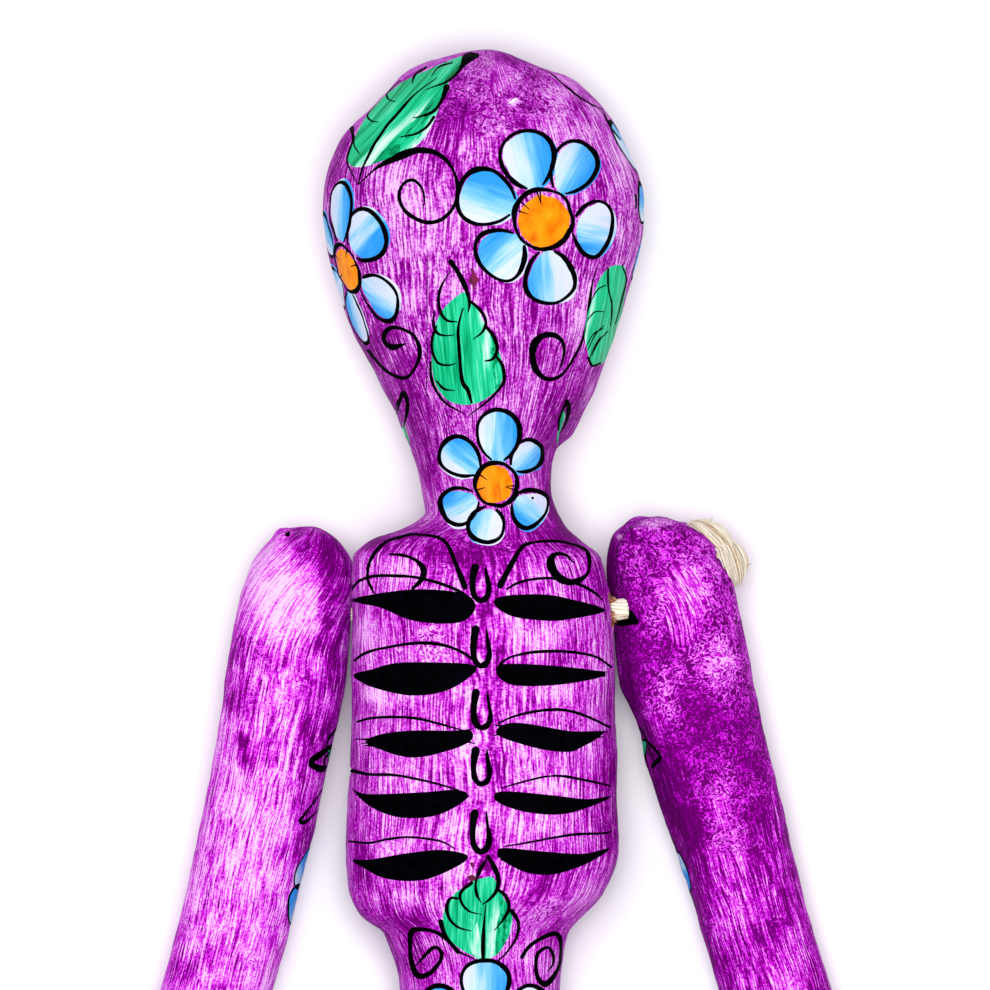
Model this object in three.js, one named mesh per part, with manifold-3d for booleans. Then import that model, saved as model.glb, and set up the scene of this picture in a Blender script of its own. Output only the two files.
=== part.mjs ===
// A day of the dead skeleton figure in painted papier-mache. The skull, neck, ribcage and pelvis are
// one moulded piece. The arms and legs are tied on by two cotton cords that run right through it.
//
// The figure lies on its front, as a loosely tied figure does: its back faces up (+Z) and its head
// points along +Y. The origin is at the middle of its footprint, on the surface that it lies on.
//
// The free forms are drawn on a squared grid, as a sculptor does. Its squares share out the figure's
// full length. Places on it are right of the midline, down from the crown and up from the surface.

import * as THREE from "three";
import { mergeVertices } from "three/addons/utils/BufferGeometryUtils.js";
import Module from "manifold-3d";

// Driving dimensions, in millimetres
const FIGURE_LENGTH = 600;
const CORD_DIAMETER = 6.8;
const CORD_PLAY = 0.5; // room all round a cord in the holes that it runs through
const KNOT_DIAMETER = 11; // across each of the two turns of a knot
const KNOT_SPREAD = 10; // from the middle of one turn to the middle of the other
const KNOT_PRESS = 1.4; // how far a leg's knot is flattened against it
const FIT_GAP = 0.4; // between pieces that press on each other
const LEG_GAP = 1.2; // between the pelvis and each leg

const SQUARES_IN_LENGTH = 1800;
const SQUARE = FIGURE_LENGTH / SQUARES_IN_LENGTH;

// How finely the faceted solids are cut
const BODY_SIDES = 30;
const LIMB_SIDES = 14;
const THUMB_SIDES = 8;
const CORD_SIDES = 8;

const PAPER_PURPLE = new THREE.Color(0.5, 0.06, 0.5);
const COTTON_CREAM = new THREE.Color(0.88, 0.8, 0.62);

// The moulded body: down from the crown, its reach to the left and to the right of the midline, the
// heights of its front and of its back, and how square the section is, where 2 is an ellipse
const BODY_ROWS = [
  [0, 145, 151, 30, 280, 2.0], // crown, before it is domed
  [95, 155, 155, 16, 290, 2.0],
  [160, 159, 163, 12, 292, 2.05], // widest part of the skull
  [250, 141, 144, 9, 272, 2.1],
  [330, 104, 115, 9, 237, 2.1], // cheeks
  [368, 85, 100, 10, 222, 2.1], // chin
  [385, 78, 91, 20, 216, 2.1],
  [400, 71, 74, 74, 212, 2.0], // under the chin
  [440, 60, 68, 98, 206, 2.0], // narrowest part of the neck
  [462, 57, 75, 91, 208, 2.0],
  [476, 75, 84, 80, 211, 2.1],
  [490, 112, 99, 66, 216, 2.3], // shoulder
  [508, 129, 119, 54, 219, 2.4],
  [560, 130, 130, 34, 225, 2.6],
  [700, 131, 134, 25, 224, 2.6], // ribcage
  [800, 137, 136, 27, 217, 2.6],
  [845, 132, 122, 33, 206, 2.5],
  [865, 123, 103, 38, 196, 2.4],
  [885, 98, 85, 44, 186, 2.3], // under the ribs
  [930, 83, 79, 44, 170, 2.2],
  [985, 80, 78, 38, 166, 2.2], // waist
  [1050, 106, 106, 6, 180, 2.4],
  [1115, 112, 112, -4, 186, 2.5], // pelvis
  [1225, 92, 92, 6, 170, 2.4], // its lower end, before it is domed
];
const CROWN_DOME = 150;
const PELVIS_DOME = 60;
const BODY_END = BODY_ROWS.at(-1)[0];
// Bands of cross-sections: down to here, in this many steps
const BODY_BANDS = [
  [CROWN_DOME, 8],
  [366, 12],
  [412, 6],
  [466, 3],
  [530, 8],
  [830, 9],
  [900, 6],
  [BODY_END - PELVIS_DOME, 10],
  [BODY_END, 6],
];

// The skull's face, on the side that the figure lies on. Places are right of the face's own middle
// and down from the crown. A positive depth is a hollow, and a negative one stands out.
const FACE_SHIFT = 12; // the head is turned a little, so its face is off the body's midline
const FACE_FORMS = [
  { name: "left eye socket", x: -60, down: 212, wide: 52, high: 46, depth: 30 },
  { name: "right eye socket", x: 60, down: 212, wide: 52, high: 46, depth: 30 },
  { name: "left side of the nose hole", x: -10, down: 284, wide: 19, high: 32, depth: 16 },
  { name: "right side of the nose hole", x: 10, down: 284, wide: 19, high: 32, depth: 16 },
  { name: "left cheek hollow", x: -88, down: 322, wide: 42, high: 40, depth: 16 },
  { name: "right cheek hollow", x: 88, down: 322, wide: 42, high: 40, depth: 16 },
  { name: "brow", x: 0, down: 150, wide: 120, high: 50, depth: -14 },
  { name: "teeth", x: 0, down: 346, wide: 64, high: 46, depth: -16 },
];
// The jaw's corner shows past the nape on the right, so the nape side is pulled in there
const JAW_CORNER = { down: 388, reach: 48, pull: 0.16 };

// Limb rows: right of the midline, down, up, half the width, half the depth to the front and to the
// back. The arms' domed tops differ, as each was shaped by hand.
const LEFT_UPPER_ARM = [
  [-168, 477, 104, 50, 50, 50],
  [-180, 525, 103, 53, 53, 53],
  [-188, 560, 102, 56, 54, 54],
  [-196, 625, 98, 60, 54, 54],
  [-207, 685, 92, 57.5, 52, 52],
  [-225, 775, 82, 56, 50, 50],
  [-246, 865, 73, 54.5, 47, 47],
  [-264, 935, 66, 54.5, 46, 46],
];
const RIGHT_UPPER_ARM = [
  [185, 467, 104, 60, 54, 54],
  [183, 505, 103, 59, 55, 55],
  [192, 550, 102, 62, 57, 57],
  [203, 622, 98, 66.5, 57, 57],
  [220, 685, 92, 62.5, 54, 54],
  [246, 775, 82, 57.5, 50, 50],
  [270.5, 865, 73, 54, 47, 47],
  [292.5, 935, 66, 54.5, 46, 46],
];
// From there to the finger tips: further out, further down, up, and half sizes as above
const FOREARM = [
  [20, 67, 57, 54, 45, 45],
  [45, 147, 47, 48, 40, 40],
  [67, 217, 38, 40, 33, 33], // wrist
  [88, 292, 24, 43, 22, 22],
  [99, 332, 18, 50, 19, 18], // palm
  [112, 380, 15, 46, 17, 16],
];
// The thumb, on the hand's inner side: further in from the hand, further down, up and half sizes
const THUMB = [
  [4, 262, 26, 16, 15, 15],
  [-36, 296, 22, 15, 14, 14],
  [-52, 336, 17, 13, 12, 12],
];
const LEFT_SHOULDER_DOME = 58;
const RIGHT_SHOULDER_DOME = 26;
const HAND_DOME = 34;
const THUMB_DOME = 14;

// A leg, out from its inner side at the hip, and its foot, which points at the surface
const LEG = [
  [56, 1096, 100, 56, 52, 52],
  [60, 1160, 98, 58, 56, 56],
  [66, 1240, 97, 59, 57, 57], // thigh
  [74, 1340, 97, 52, 51, 52],
  [80, 1415, 100, 52, 57, 48], // knee
  [85, 1475, 103, 49, 50, 48],
  [91, 1560, 108, 46, 43, 48], // calf
  [97, 1660, 113, 38, 36, 40],
  [101, 1768, 113, 36, 34, 36], // ankle
];
const FOOT = [
  [101, 1756, 160, 35, 34, 38], // heel
  [102, 1758, 128, 37, 38, 41],
  [106, 1761, 92, 38, 40, 39],
  [113, 1768, 52, 42, 32, 32],
  [121, 1774, 22, 45, 26, 26],
  [126, 1776, 0, 44, 24, 24], // toes
];
const HIP_DOME = 58;
const ANKLE_DOME = 30;
const HEEL_DOME = 34;
const TOE_DOME = 24;

// Steps along each form
const ARM_STEPS = 24;
const LEG_STEPS = 25;
const FOOT_STEPS = 9;
const THUMB_STEPS = 6;
const SHOULDER_CORD_STEPS = 22;
const HIP_CORD_STEPS = 4;

// Cord routes, from the knot on the figure's left to the knot on its right. The right arm's knot is
// drawn up round the top of the arm, and the left arm's is on the side that it lies on.
const SHOULDER_CORD_ROUTE = [
  [-214, 560, 42],
  [-204, 560, 64],
  [-180, 560, 94],
  [-130, 560, 118],
  [-40, 560, 126],
  [60, 560, 136],
  [131, 560, 142],
  [162, 552, 143],
  [196, 532, 136],
  [222, 512, 118],
  [240, 498, 100],
];
const HIP_ROW = LEG[1]; // the hip cord runs through the middle of the legs here

// Reads a table by its first column. The other columns follow smooth curves that never swing past
// their neighbouring rows.
function smoothTable(rows) {
  const places = rows.map((row) => row[0]);
  const last = places.length - 1;
  const gaps = places.slice(1).map((place, i) => place - places[i]);
  const slopesOf = (column) => {
    const rises = gaps.map((gap, i) => (rows[i + 1][column] - rows[i][column]) / gap);
    return places.map((_, i) => {
      if (i === 0) return rises[0];
      if (i === last) return rises[last - 1];
      const [before, after] = [rises[i - 1], rises[i]];
      if (before * after <= 0) return 0;
      const [gap, next] = [gaps[i - 1], gaps[i]];
      return (3 * (gap + next)) / ((2 * next + gap) / before + (next + 2 * gap) / after);
    });
  };
  const columns = rows[0].slice(1).map((_, i) => ({ index: i + 1, slopes: slopesOf(i + 1) }));
  return (at) => {
    const above = places.findIndex((place) => place > at);
    const i = above < 0 ? last - 1 : Math.max(0, above - 1);
    const t = (at - places[i]) / gaps[i];
    return columns.map(({ index, slopes }) => {
      const [from, to] = [rows[i][index], rows[i + 1][index]];
      const lean = (1 - t) * slopes[i] - t * slopes[i + 1];
      return from + (to - from) * t * t * (3 - 2 * t) + t * (1 - t) * gaps[i] * lean;
    });
  };
}

// 0 at the end of a form and 1 past its dome, as a quarter ellipse
function domeShare(fromEnd, dome) {
  const left = 1 - Math.min(1, Math.max(0, fromEnd / dome));
  return Math.sqrt(1 - left * left);
}

// A hill that is 1 in its middle and falls to 0, without a corner, at a distance of 1
function hill(distance) {
  return Math.max(0, 1 - distance * distance) ** 2;
}

// A point of a superellipse that reaches from -1 to 1 each way
function onSection(angle, squareness) {
  return [Math.cos(angle), Math.sin(angle)].map(
    (part) => Math.sign(part) * Math.abs(part) ** (2 / squareness),
  );
}

// How far the forms of the face push the front of the head back
function faceRelief(x, down) {
  return FACE_FORMS.reduce((sum, form) => {
    const across = (x - FACE_SHIFT - form.x) / form.wide;
    const along = (down - form.down) / form.high;
    return sum + form.depth * hill(Math.hypot(across, along));
  }, 0);
}

const bodySection = smoothTable(BODY_ROWS);

// A point of the body's skin, on the grid
function bodyPoint(down, angle) {
  const [left, right, front, back, squareness] = bodySection(down);
  const shrink = domeShare(down, CROWN_DOME) * domeShare(BODY_END - down, PELVIS_DOME);
  const [across, rise] = onSection(angle, squareness);
  const napeSide = Math.max(0, across) * Math.sqrt(Math.max(0, rise));
  const pull = JAW_CORNER.pull * hill((down - JAW_CORNER.down) / JAW_CORNER.reach) * napeSide;
  const x = (right - left) / 2 + ((right + left) / 2) * shrink * across * (1 - pull);
  const up = (front + back) / 2 + ((back - front) / 2) * shrink * rise;
  const faceSide = Math.sqrt(Math.max(0, -rise));
  return [x, down, Math.max(0, up + faceRelief(x, down) * faceSide)];
}

// From the grid to millimetres, with +Y towards the head
function fromGrid([right, down, up]) {
  return new THREE.Vector3(right, -down, up).multiplyScalar(SQUARE);
}

// Evenly spaced angles round a section
function anglesRound(sides) {
  return Array.from({ length: sides }, (_, i) => (2 * Math.PI * (i + 0.5)) / sides);
}

// A closed skin over rings of points. It starts and ends in a single point.
function closedLoft(start, rings, end) {
  const points = [start, ...rings.flat(), end];
  const sides = rings[0].length;
  const at = (ring, side) => 1 + ring * sides + (side % sides);
  const faces = [];
  for (let side = 0; side < sides; side++) {
    faces.push(0, at(0, side + 1), at(0, side));
    for (let ring = 0; ring + 1 < rings.length; ring++) {
      const [a, b] = [at(ring, side), at(ring, side + 1)];
      const [c, d] = [at(ring + 1, side), at(ring + 1, side + 1)];
      faces.push(a, b, c, b, d, c);
    }
    const last = rings.length - 1;
    faces.push(at(last, side), at(last, side + 1), points.length - 1);
  }
  return new THREE.BufferGeometry().setFromPoints(points).setIndex(faces);
}

// Where the body's cross-sections lie. They are closer together towards its domed ends.
function bodyPlaces() {
  const places = [];
  let from = 0;
  for (const [to, steps] of BODY_BANDS) {
    for (let step = 1; step <= steps; step++) {
      const turn = (Math.PI / 2) * (step / steps);
      if (to === CROWN_DOME) places.push(to * (1 - Math.cos(turn)));
      else if (to === BODY_END) places.push(from + (to - from) * Math.sin(turn));
      else places.push(from + ((to - from) * step) / steps);
    }
    from = to;
  }
  return places.slice(0, -1);
}

function bodyGeometry() {
  const rings = bodyPlaces().map((down) =>
    anglesRound(BODY_SIDES).map((angle) => fromGrid(bodyPoint(down, angle))),
  );
  const poleAt = (down) => {
    const [left, right, front, back] = bodySection(down);
    return fromGrid([(right - left) / 2, down, (front + back) / 2]);
  };
  return closedLoft(poleAt(0), rings, poleAt(BODY_END));
}

// A limb through its rows, with sections square to its run and a dome at each end. It can be made
// thicker all round, for what has to keep clear of it.
function limbGeometry({ rows, domes, steps, sides = LIMB_SIDES }, thicker = 0) {
  const runs = [0];
  for (let i = 1; i < rows.length; i++) {
    const step = Math.hypot(...[0, 1, 2].map((axis) => rows[i][axis] - rows[i - 1][axis]));
    runs.push(runs[i - 1] + step);
  }
  const section = smoothTable(rows.map((row, i) => [runs[i], ...row]));
  const length = runs.at(-1);
  const middleAt = (run) => new THREE.Vector3(...section(run).slice(0, 3));
  const aheadAt = (run) => middleAt(run + 1).sub(middleAt(run - 1)).normalize();
  const ringAt = (run) => {
    const shrink = domeShare(run, domes[0]) * domeShare(length - run, domes[1]);
    const [halfWidth, frontDepth, backDepth] = section(run)
      .slice(3)
      .map((half) => half * shrink + thicker / SQUARE);
    const ahead = aheadAt(run);
    const side = new THREE.Vector3(1, 0, 0).addScaledVector(ahead, -ahead.x).normalize();
    const back = new THREE.Vector3().crossVectors(side, ahead);
    return anglesRound(sides).map((angle) => {
      const depth = Math.sin(angle) > 0 ? backDepth : frontDepth;
      const point = middleAt(run)
        .addScaledVector(side, Math.cos(angle) * halfWidth)
        .addScaledVector(back, Math.sin(angle) * depth);
      return fromGrid([point.x, point.y, Math.max(0, point.z)]);
    });
  };
  // Sections are closer together towards both domed ends
  const places = Array.from({ length: steps - 1 }, (_, i) => {
    const t = (i + 1) / steps;
    return length * (t - 0.1 * Math.sin(2 * Math.PI * t));
  });
  const poleAt = (run, way) => {
    const { x, y, z } = middleAt(run).addScaledVector(aheadAt(run), (way * thicker) / SQUARE);
    return fromGrid([x, y, Math.max(0, z)]);
  };
  return closedLoft(poleAt(0, -1), places.map(ringAt), poleAt(length, 1));
}

// An arm's forms: the arm down to the finger tips, and the thumb
function armForms(upperArm, shoulderDome) {
  const [elbowRight, elbowDown] = upperArm.at(-1);
  const outward = Math.sign(elbowRight);
  const handOut = FOREARM[3][0];
  const fromElbow = ([out, down, ...rest]) => [elbowRight + outward * out, elbowDown + down, ...rest];
  const fromHand = ([out, ...rest]) => fromElbow([handOut + out, ...rest]);
  return [
    {
      rows: [...upperArm, ...FOREARM.map(fromElbow)],
      domes: [shoulderDome, HAND_DOME],
      steps: ARM_STEPS,
    },
    {
      rows: THUMB.map(fromHand),
      domes: [THUMB_DOME, THUMB_DOME],
      steps: THUMB_STEPS,
      sides: THUMB_SIDES,
    },
  ];
}

// How far from the midline the inner side of a leg is, beside the pelvis
function innerSideOfLeg(outward) {
  const [pelvisLeft, pelvisRight] = bodySection(HIP_ROW[1]);
  return (outward < 0 ? pelvisLeft : pelvisRight) + LEG_GAP / SQUARE;
}

// A leg's forms: the leg down to the ankle, and the foot
function legForms(outward) {
  const place = ([out, ...rest]) => [outward * (innerSideOfLeg(outward) + out), ...rest];
  return [
    { rows: LEG.map(place), domes: [HIP_DOME, ANKLE_DOME], steps: LEG_STEPS },
    { rows: FOOT.map(place), domes: [HEEL_DOME, TOE_DOME], steps: FOOT_STEPS },
  ];
}

// The hip cord's straight route, from the knot outside one leg to the knot outside the other
function hipCordRoute() {
  const [out, down, up, halfWidth] = HIP_ROW;
  const knotOut = out + halfWidth + (KNOT_DIAMETER / 2 - KNOT_PRESS) / SQUARE;
  const [left, right] = [-1, 1].map((outward) => outward * (innerSideOfLeg(outward) + knotOut));
  return [left, left / 2, right / 2, right].map((x) => [x, down, up]);
}

// A round bar along a route
function barAlong(route, diameter, steps) {
  const round = anglesRound(CORD_SIDES).map(
    (angle) => new THREE.Vector2(Math.cos(angle) * (diameter / 2), Math.sin(angle) * (diameter / 2)),
  );
  const extrudePath = new THREE.CatmullRomCurve3(route.map(fromGrid));
  return new THREE.ExtrudeGeometry(new THREE.Shape(round), { steps, extrudePath });
}

const wasm = await Module();
wasm.setup();

function toSolid(geometry) {
  const bare = geometry.clone();
  bare.deleteAttribute("normal");
  bare.deleteAttribute("uv");
  const merged = mergeVertices(bare, 1e-4);
  return new wasm.Manifold(
    new wasm.Mesh({
      numProp: 3,
      vertProperties: merged.attributes.position.array,
      triVerts: new Uint32Array(merged.index.array),
    }),
  );
}

function toGeometry(solid) {
  const { vertProperties, triVerts } = solid.getMesh();
  return new THREE.BufferGeometry()
    .setAttribute("position", new THREE.BufferAttribute(vertProperties, 3))
    .setIndex(new THREE.BufferAttribute(triVerts, 1));
}

const joined = (solids) => solids.reduce((whole, solid) => whole.add(solid));

// A knot's two turns, side by side across the cord's end. They are pressed flat against the limb.
function knotSolid(end, across, limb) {
  const turns = [-1, 1].map((way) => {
    const turn = new THREE.SphereGeometry(KNOT_DIAMETER / 2, 10, 6);
    const { x, y, z } = end.clone().addScaledVector(across, (way * KNOT_SPREAD) / 2);
    return toSolid(turn.translate(x, y, z));
  });
  const clearance = joined(limb.map((form) => toSolid(limbGeometry(form, FIT_GAP))));
  return joined(turns).subtract(clearance);
}

const limbs = {
  left_arm: armForms(LEFT_UPPER_ARM, LEFT_SHOULDER_DOME),
  right_arm: armForms(RIGHT_UPPER_ARM, RIGHT_SHOULDER_DOME),
  left_leg: legForms(-1),
  right_leg: legForms(1),
};

const ALONG_LIMB = new THREE.Vector3(0, 1, 0);
const ROUND_THE_SHOULDER = new THREE.Vector3(0.6, -0.8, 0);
const cords = {
  shoulder_cord: {
    route: SHOULDER_CORD_ROUTE,
    steps: SHOULDER_CORD_STEPS,
    ties: [
      { limb: "left_arm", across: ALONG_LIMB },
      { limb: "right_arm", across: ROUND_THE_SHOULDER },
    ],
  },
  hip_cord: {
    route: hipCordRoute(),
    steps: HIP_CORD_STEPS,
    ties: [
      { limb: "left_leg", across: ALONG_LIMB },
      { limb: "right_leg", across: ALONG_LIMB },
    ],
  },
};

const boreDiameter = CORD_DIAMETER + 2 * CORD_PLAY;
const bores = Object.values(cords).map(({ route, steps }) =>
  toSolid(barAlong(route, boreDiameter, steps)),
);
const withBores = (solid) => bores.reduce((rest, bore) => rest.subtract(bore), solid);

const figure = new THREE.Group();

function addPiece(name, solid, color, roughness) {
  const material = new THREE.MeshStandardMaterial({ color, roughness, metalness: 0 });
  const mesh = new THREE.Mesh(toGeometry(solid), material);
  mesh.name = name;
  figure.add(mesh);
}

addPiece("head_and_torso", withBores(toSolid(bodyGeometry())), PAPER_PURPLE, 0.55);
for (const [name, forms] of Object.entries(limbs)) {
  const limb = joined(forms.map((form) => toSolid(limbGeometry(form))));
  addPiece(name, withBores(limb), PAPER_PURPLE, 0.55);
}
for (const [name, { route, steps, ties }] of Object.entries(cords)) {
  const ends = [route[0], route.at(-1)].map(fromGrid);
  const knots = ties.map(({ limb, across }, i) => knotSolid(ends[i], across, limbs[limb]));
  const cord = joined([toSolid(barAlong(route, CORD_DIAMETER, steps)), ...knots]);
  addPiece(name, cord, COTTON_CREAM, 0.95);
}

// The footprint's middle comes to the origin
const footprint = new THREE.Box3().setFromObject(figure);
const middle = footprint.getCenter(new THREE.Vector3());
figure.position.set(-middle.x, -middle.y, -footprint.min.z);

export default figure;
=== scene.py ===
# A day of the dead skeleton figure in painted papier-mache, lying on its front, seen from above.
# Each piece's skin is drawn again, finely, on the grid that its solid was drawn on, and it carries
# the painted flowers, leaves, scrolls and bones as areas of its mesh. The cords are made of yarns.

import math
from types import SimpleNamespace

import bpy
import numpy as np
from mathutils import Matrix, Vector
from mathutils.geometry import delaunay_2d_cdt


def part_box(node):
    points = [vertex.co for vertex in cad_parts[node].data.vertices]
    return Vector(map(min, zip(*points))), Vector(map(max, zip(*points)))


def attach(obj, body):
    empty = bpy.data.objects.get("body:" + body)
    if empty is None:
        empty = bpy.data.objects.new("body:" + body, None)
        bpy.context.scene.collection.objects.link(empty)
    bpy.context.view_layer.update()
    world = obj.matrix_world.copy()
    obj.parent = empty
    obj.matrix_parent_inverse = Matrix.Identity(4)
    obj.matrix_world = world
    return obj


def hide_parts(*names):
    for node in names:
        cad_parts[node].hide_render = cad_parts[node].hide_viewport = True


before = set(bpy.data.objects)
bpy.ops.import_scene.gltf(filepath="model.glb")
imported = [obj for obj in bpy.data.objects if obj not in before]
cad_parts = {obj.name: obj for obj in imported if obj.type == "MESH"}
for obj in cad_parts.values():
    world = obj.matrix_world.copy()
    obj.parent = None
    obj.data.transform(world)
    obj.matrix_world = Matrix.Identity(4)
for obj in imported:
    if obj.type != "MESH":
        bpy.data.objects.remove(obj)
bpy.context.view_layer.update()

# The forms are drawn on a squared grid. Places on it are right of the midline, down from the crown
# and up from the surface that the figure lies on, in squares.

# The moulded body: down, reach to the left and right, heights of front and back, squareness
BODY_ROWS = [
    (0, 145, 151, 30, 280, 2.0),
    (95, 155, 155, 16, 290, 2.0),
    (160, 159, 163, 12, 292, 2.05),
    (250, 141, 144, 9, 272, 2.1),
    (330, 104, 115, 9, 237, 2.1),
    (368, 85, 100, 10, 222, 2.1),
    (385, 78, 91, 20, 216, 2.1),
    (400, 71, 74, 74, 212, 2.0),
    (440, 60, 68, 98, 206, 2.0),
    (462, 57, 75, 91, 208, 2.0),
    (476, 75, 84, 80, 211, 2.1),
    (490, 112, 99, 66, 216, 2.3),
    (508, 129, 119, 54, 219, 2.4),
    (560, 130, 130, 34, 225, 2.6),
    (700, 131, 134, 25, 224, 2.6),
    (800, 137, 136, 27, 217, 2.6),
    (845, 132, 122, 33, 206, 2.5),
    (865, 123, 103, 38, 196, 2.4),
    (885, 98, 85, 44, 186, 2.3),
    (930, 83, 79, 44, 170, 2.2),
    (985, 80, 78, 38, 166, 2.2),
    (1050, 106, 106, 6, 180, 2.4),
    (1115, 112, 112, -4, 186, 2.5),
    (1225, 92, 92, 6, 170, 2.4),
]
BODY_END = BODY_ROWS[-1][0]
CROWN_DOME = 150
PELVIS_DOME = 60

# The skull's face. Places are right of the face's middle and down. A positive depth is a hollow.
FACE_SHIFT = 12
FACE_FORMS = [
    (-60, 212, 52, 46, 30),
    (60, 212, 52, 46, 30),
    (-10, 284, 19, 32, 16),
    (10, 284, 19, 32, 16),
    (-88, 322, 42, 40, 16),
    (88, 322, 42, 40, 16),
    (0, 150, 120, 50, -14),
    (0, 346, 64, 46, -16),
]
JAW_DOWN, JAW_REACH, JAW_PULL = 388, 48, 0.16

# Limb rows: right, down, up, half the width, half the depth to the front and to the back
LEFT_UPPER_ARM = [
    (-168, 477, 104, 50, 50, 50),
    (-180, 525, 103, 53, 53, 53),
    (-188, 560, 102, 56, 54, 54),
    (-196, 625, 98, 60, 54, 54),
    (-207, 685, 92, 57.5, 52, 52),
    (-225, 775, 82, 56, 50, 50),
    (-246, 865, 73, 54.5, 47, 47),
    (-264, 935, 66, 54.5, 46, 46),
]
RIGHT_UPPER_ARM = [
    (185, 467, 104, 60, 54, 54),
    (183, 505, 103, 59, 55, 55),
    (192, 550, 102, 62, 57, 57),
    (203, 622, 98, 66.5, 57, 57),
    (220, 685, 92, 62.5, 54, 54),
    (246, 775, 82, 57.5, 50, 50),
    (270.5, 865, 73, 54, 47, 47),
    (292.5, 935, 66, 54.5, 46, 46),
]
# From the elbow: further out, further down, up and half sizes
FOREARM = [
    (20, 67, 57, 54, 45, 45),
    (45, 147, 47, 48, 40, 40),
    (67, 217, 38, 40, 33, 33),
    (88, 292, 24, 43, 22, 22),
    (99, 332, 18, 50, 19, 18),
    (112, 380, 15, 46, 17, 16),
]
THUMB = [
    (4, 262, 26, 16, 15, 15),
    (-36, 296, 22, 15, 14, 14),
    (-52, 336, 17, 13, 12, 12),
]
LEG = [
    (56, 1096, 100, 56, 52, 52),
    (60, 1160, 98, 58, 56, 56),
    (66, 1240, 97, 59, 57, 57),
    (74, 1340, 97, 52, 51, 52),
    (80, 1415, 100, 52, 57, 48),
    (85, 1475, 103, 49, 50, 48),
    (91, 1560, 108, 46, 43, 48),
    (97, 1660, 113, 38, 36, 40),
    (101, 1768, 113, 36, 34, 36),
]
FOOT = [
    (101, 1756, 160, 35, 34, 38),
    (102, 1758, 128, 37, 38, 41),
    (106, 1761, 92, 38, 40, 39),
    (113, 1768, 52, 42, 32, 32),
    (121, 1774, 22, 45, 26, 26),
    (126, 1776, 0, 44, 24, 24),
]
LEFT_SHOULDER_DOME, RIGHT_SHOULDER_DOME, HAND_DOME, THUMB_DOME = 58, 26, 34, 14
HIP_DOME, ANKLE_DOME, HEEL_DOME, TOE_DOME = 58, 30, 34, 24
LEG_GAP = 3.6
HIP_DOWN, HIP_OUT, HIP_HALF, HIP_UP = 1160, 60, 58, 98

SHOULDER_CORD_ROUTE = [
    (-214, 560, 42),
    (-204, 560, 64),
    (-180, 560, 92),
    (-130, 560, 106),
    (-40, 560, 126),
    (60, 560, 136),
    (131, 560, 134),
    (160, 553, 126),
    (196, 532, 136),
    (222, 512, 118),
    (240, 498, 100),
]
# A cord's radius and its yarns', how low a yarn may lie, and a hip knot's distance from the leg
CORD_RADIUS, CORD_YARN, LOWEST_YARN, KNOT_OUT = 10.2, 1.5, 0.2, 12.3
LIP_MIDDLE, LIP_RADIUS = (126, 560, 133), 14.5
# The flat on the right arm's inner side: angle, share of the reach that is kept, start and stop
INNER_FACET = [(155, 0.93, -60, 420)]

# The drawing's scale and place come from the frame
body_low, body_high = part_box("head_and_torso")
hips_low, hips_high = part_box("hip_cord")
SQUARE = (body_high.y - body_low.y) / BODY_END
MIDLINE = (hips_low.x + hips_high.x) / 2
CROWN = body_high.y
DOWN_IS_MINUS_Y = (1, -1, 1)

# Angles round a form, and how far round to each side of its angle a view's drawing reaches
BACK, FRONT, LEFT_SIDE, RIGHT_SIDE = 90, -90, 180, 0
DRAWING_REACH = np.radians(np.linspace(-100, 100, 141))
# A side view of the body is drawn across from this height, and a limb is this thick at least
SIDE_MIDDLE, LEAST_RADIUS = 150, 12

# The skin's mesh: its spacing, and the size of the cells that an outline keeps free of the grid
SKIN_SPACING = 4.6
CELL = SKIN_SPACING / 2.4
# How far a painted area stays from the seam and from the ends
SEAM_GAP, END_GAP = 0.3, 3
# How near counts as on the seam, on a row and on another point
AT_SEAM, AT_ROW, MERGED = 1e-4, 1e-3, 1e-5
LENGTH_STEPS = 500

# Brush strokes: the step along a line, how uneven their width is, and their least half width
DRAW_STEP, STROKE_WOBBLE, THINNEST = 3.2, 0.09, 0.35
# The brush marks at the top of an arm lean by this much, less and less along this length
LEFT_ARM_LEAN, RIGHT_ARM_LEAN, LEAN_LENGTH = 1.0, -0.55, 160

BLUE_SHIFT = 0.8
PAINTS = ["purple", "ink", "petal", "leaf", "orange", "torn_paper", "red_stain", "crease_shadow", "chip"]


def to_metres(grid):
    """Grid places as metres in the frame."""
    right, down, up = np.moveaxis(np.asarray(grid, float), -1, 0)
    return np.stack([MIDLINE + right * SQUARE, CROWN - down * SQUARE, up * SQUARE], -1)


def smooth_table(rows):
    """Reads a table by its first column along smooth curves that never swing past a row."""
    rows = np.array(rows, float)
    places, values = rows[:, 0], rows[:, 1:]
    gaps = np.diff(places)[:, None]
    rises = np.diff(values, axis=0) / gaps
    slopes = np.vstack([rises[:1], np.zeros_like(rises)])
    slopes[-1] = rises[-1]
    for i in range(1, len(gaps)):
        same_way = rises[i - 1] * rises[i] > 0
        before = np.where(same_way, rises[i - 1], 1)
        after = np.where(same_way, rises[i], 1)
        gap, following = gaps[i - 1], gaps[i]
        mean = 3 * (gap + following) / ((2 * following + gap) / before + (following + 2 * gap) / after)
        slopes[i] = np.where(same_way, mean, 0)

    def read(at):
        i = np.clip(np.searchsorted(places, at, side="right") - 1, 0, len(gaps) - 1)
        t = ((at - places[i]) / gaps[i, 0])[:, None]
        lean = (1 - t) * slopes[i] - t * slopes[i + 1]
        return values[i] + (values[i + 1] - values[i]) * t * t * (3 - 2 * t) + t * (1 - t) * gaps[i] * lean

    return read


def dome_share(from_end, dome):
    left = 1 - np.clip(from_end / dome, 0, 1)
    return np.sqrt(1 - left * left)


def hill(distance):
    """1 in its middle and 0 from a distance of 1 on, without a corner."""
    return np.maximum(0, 1 - distance * distance) ** 2


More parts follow.
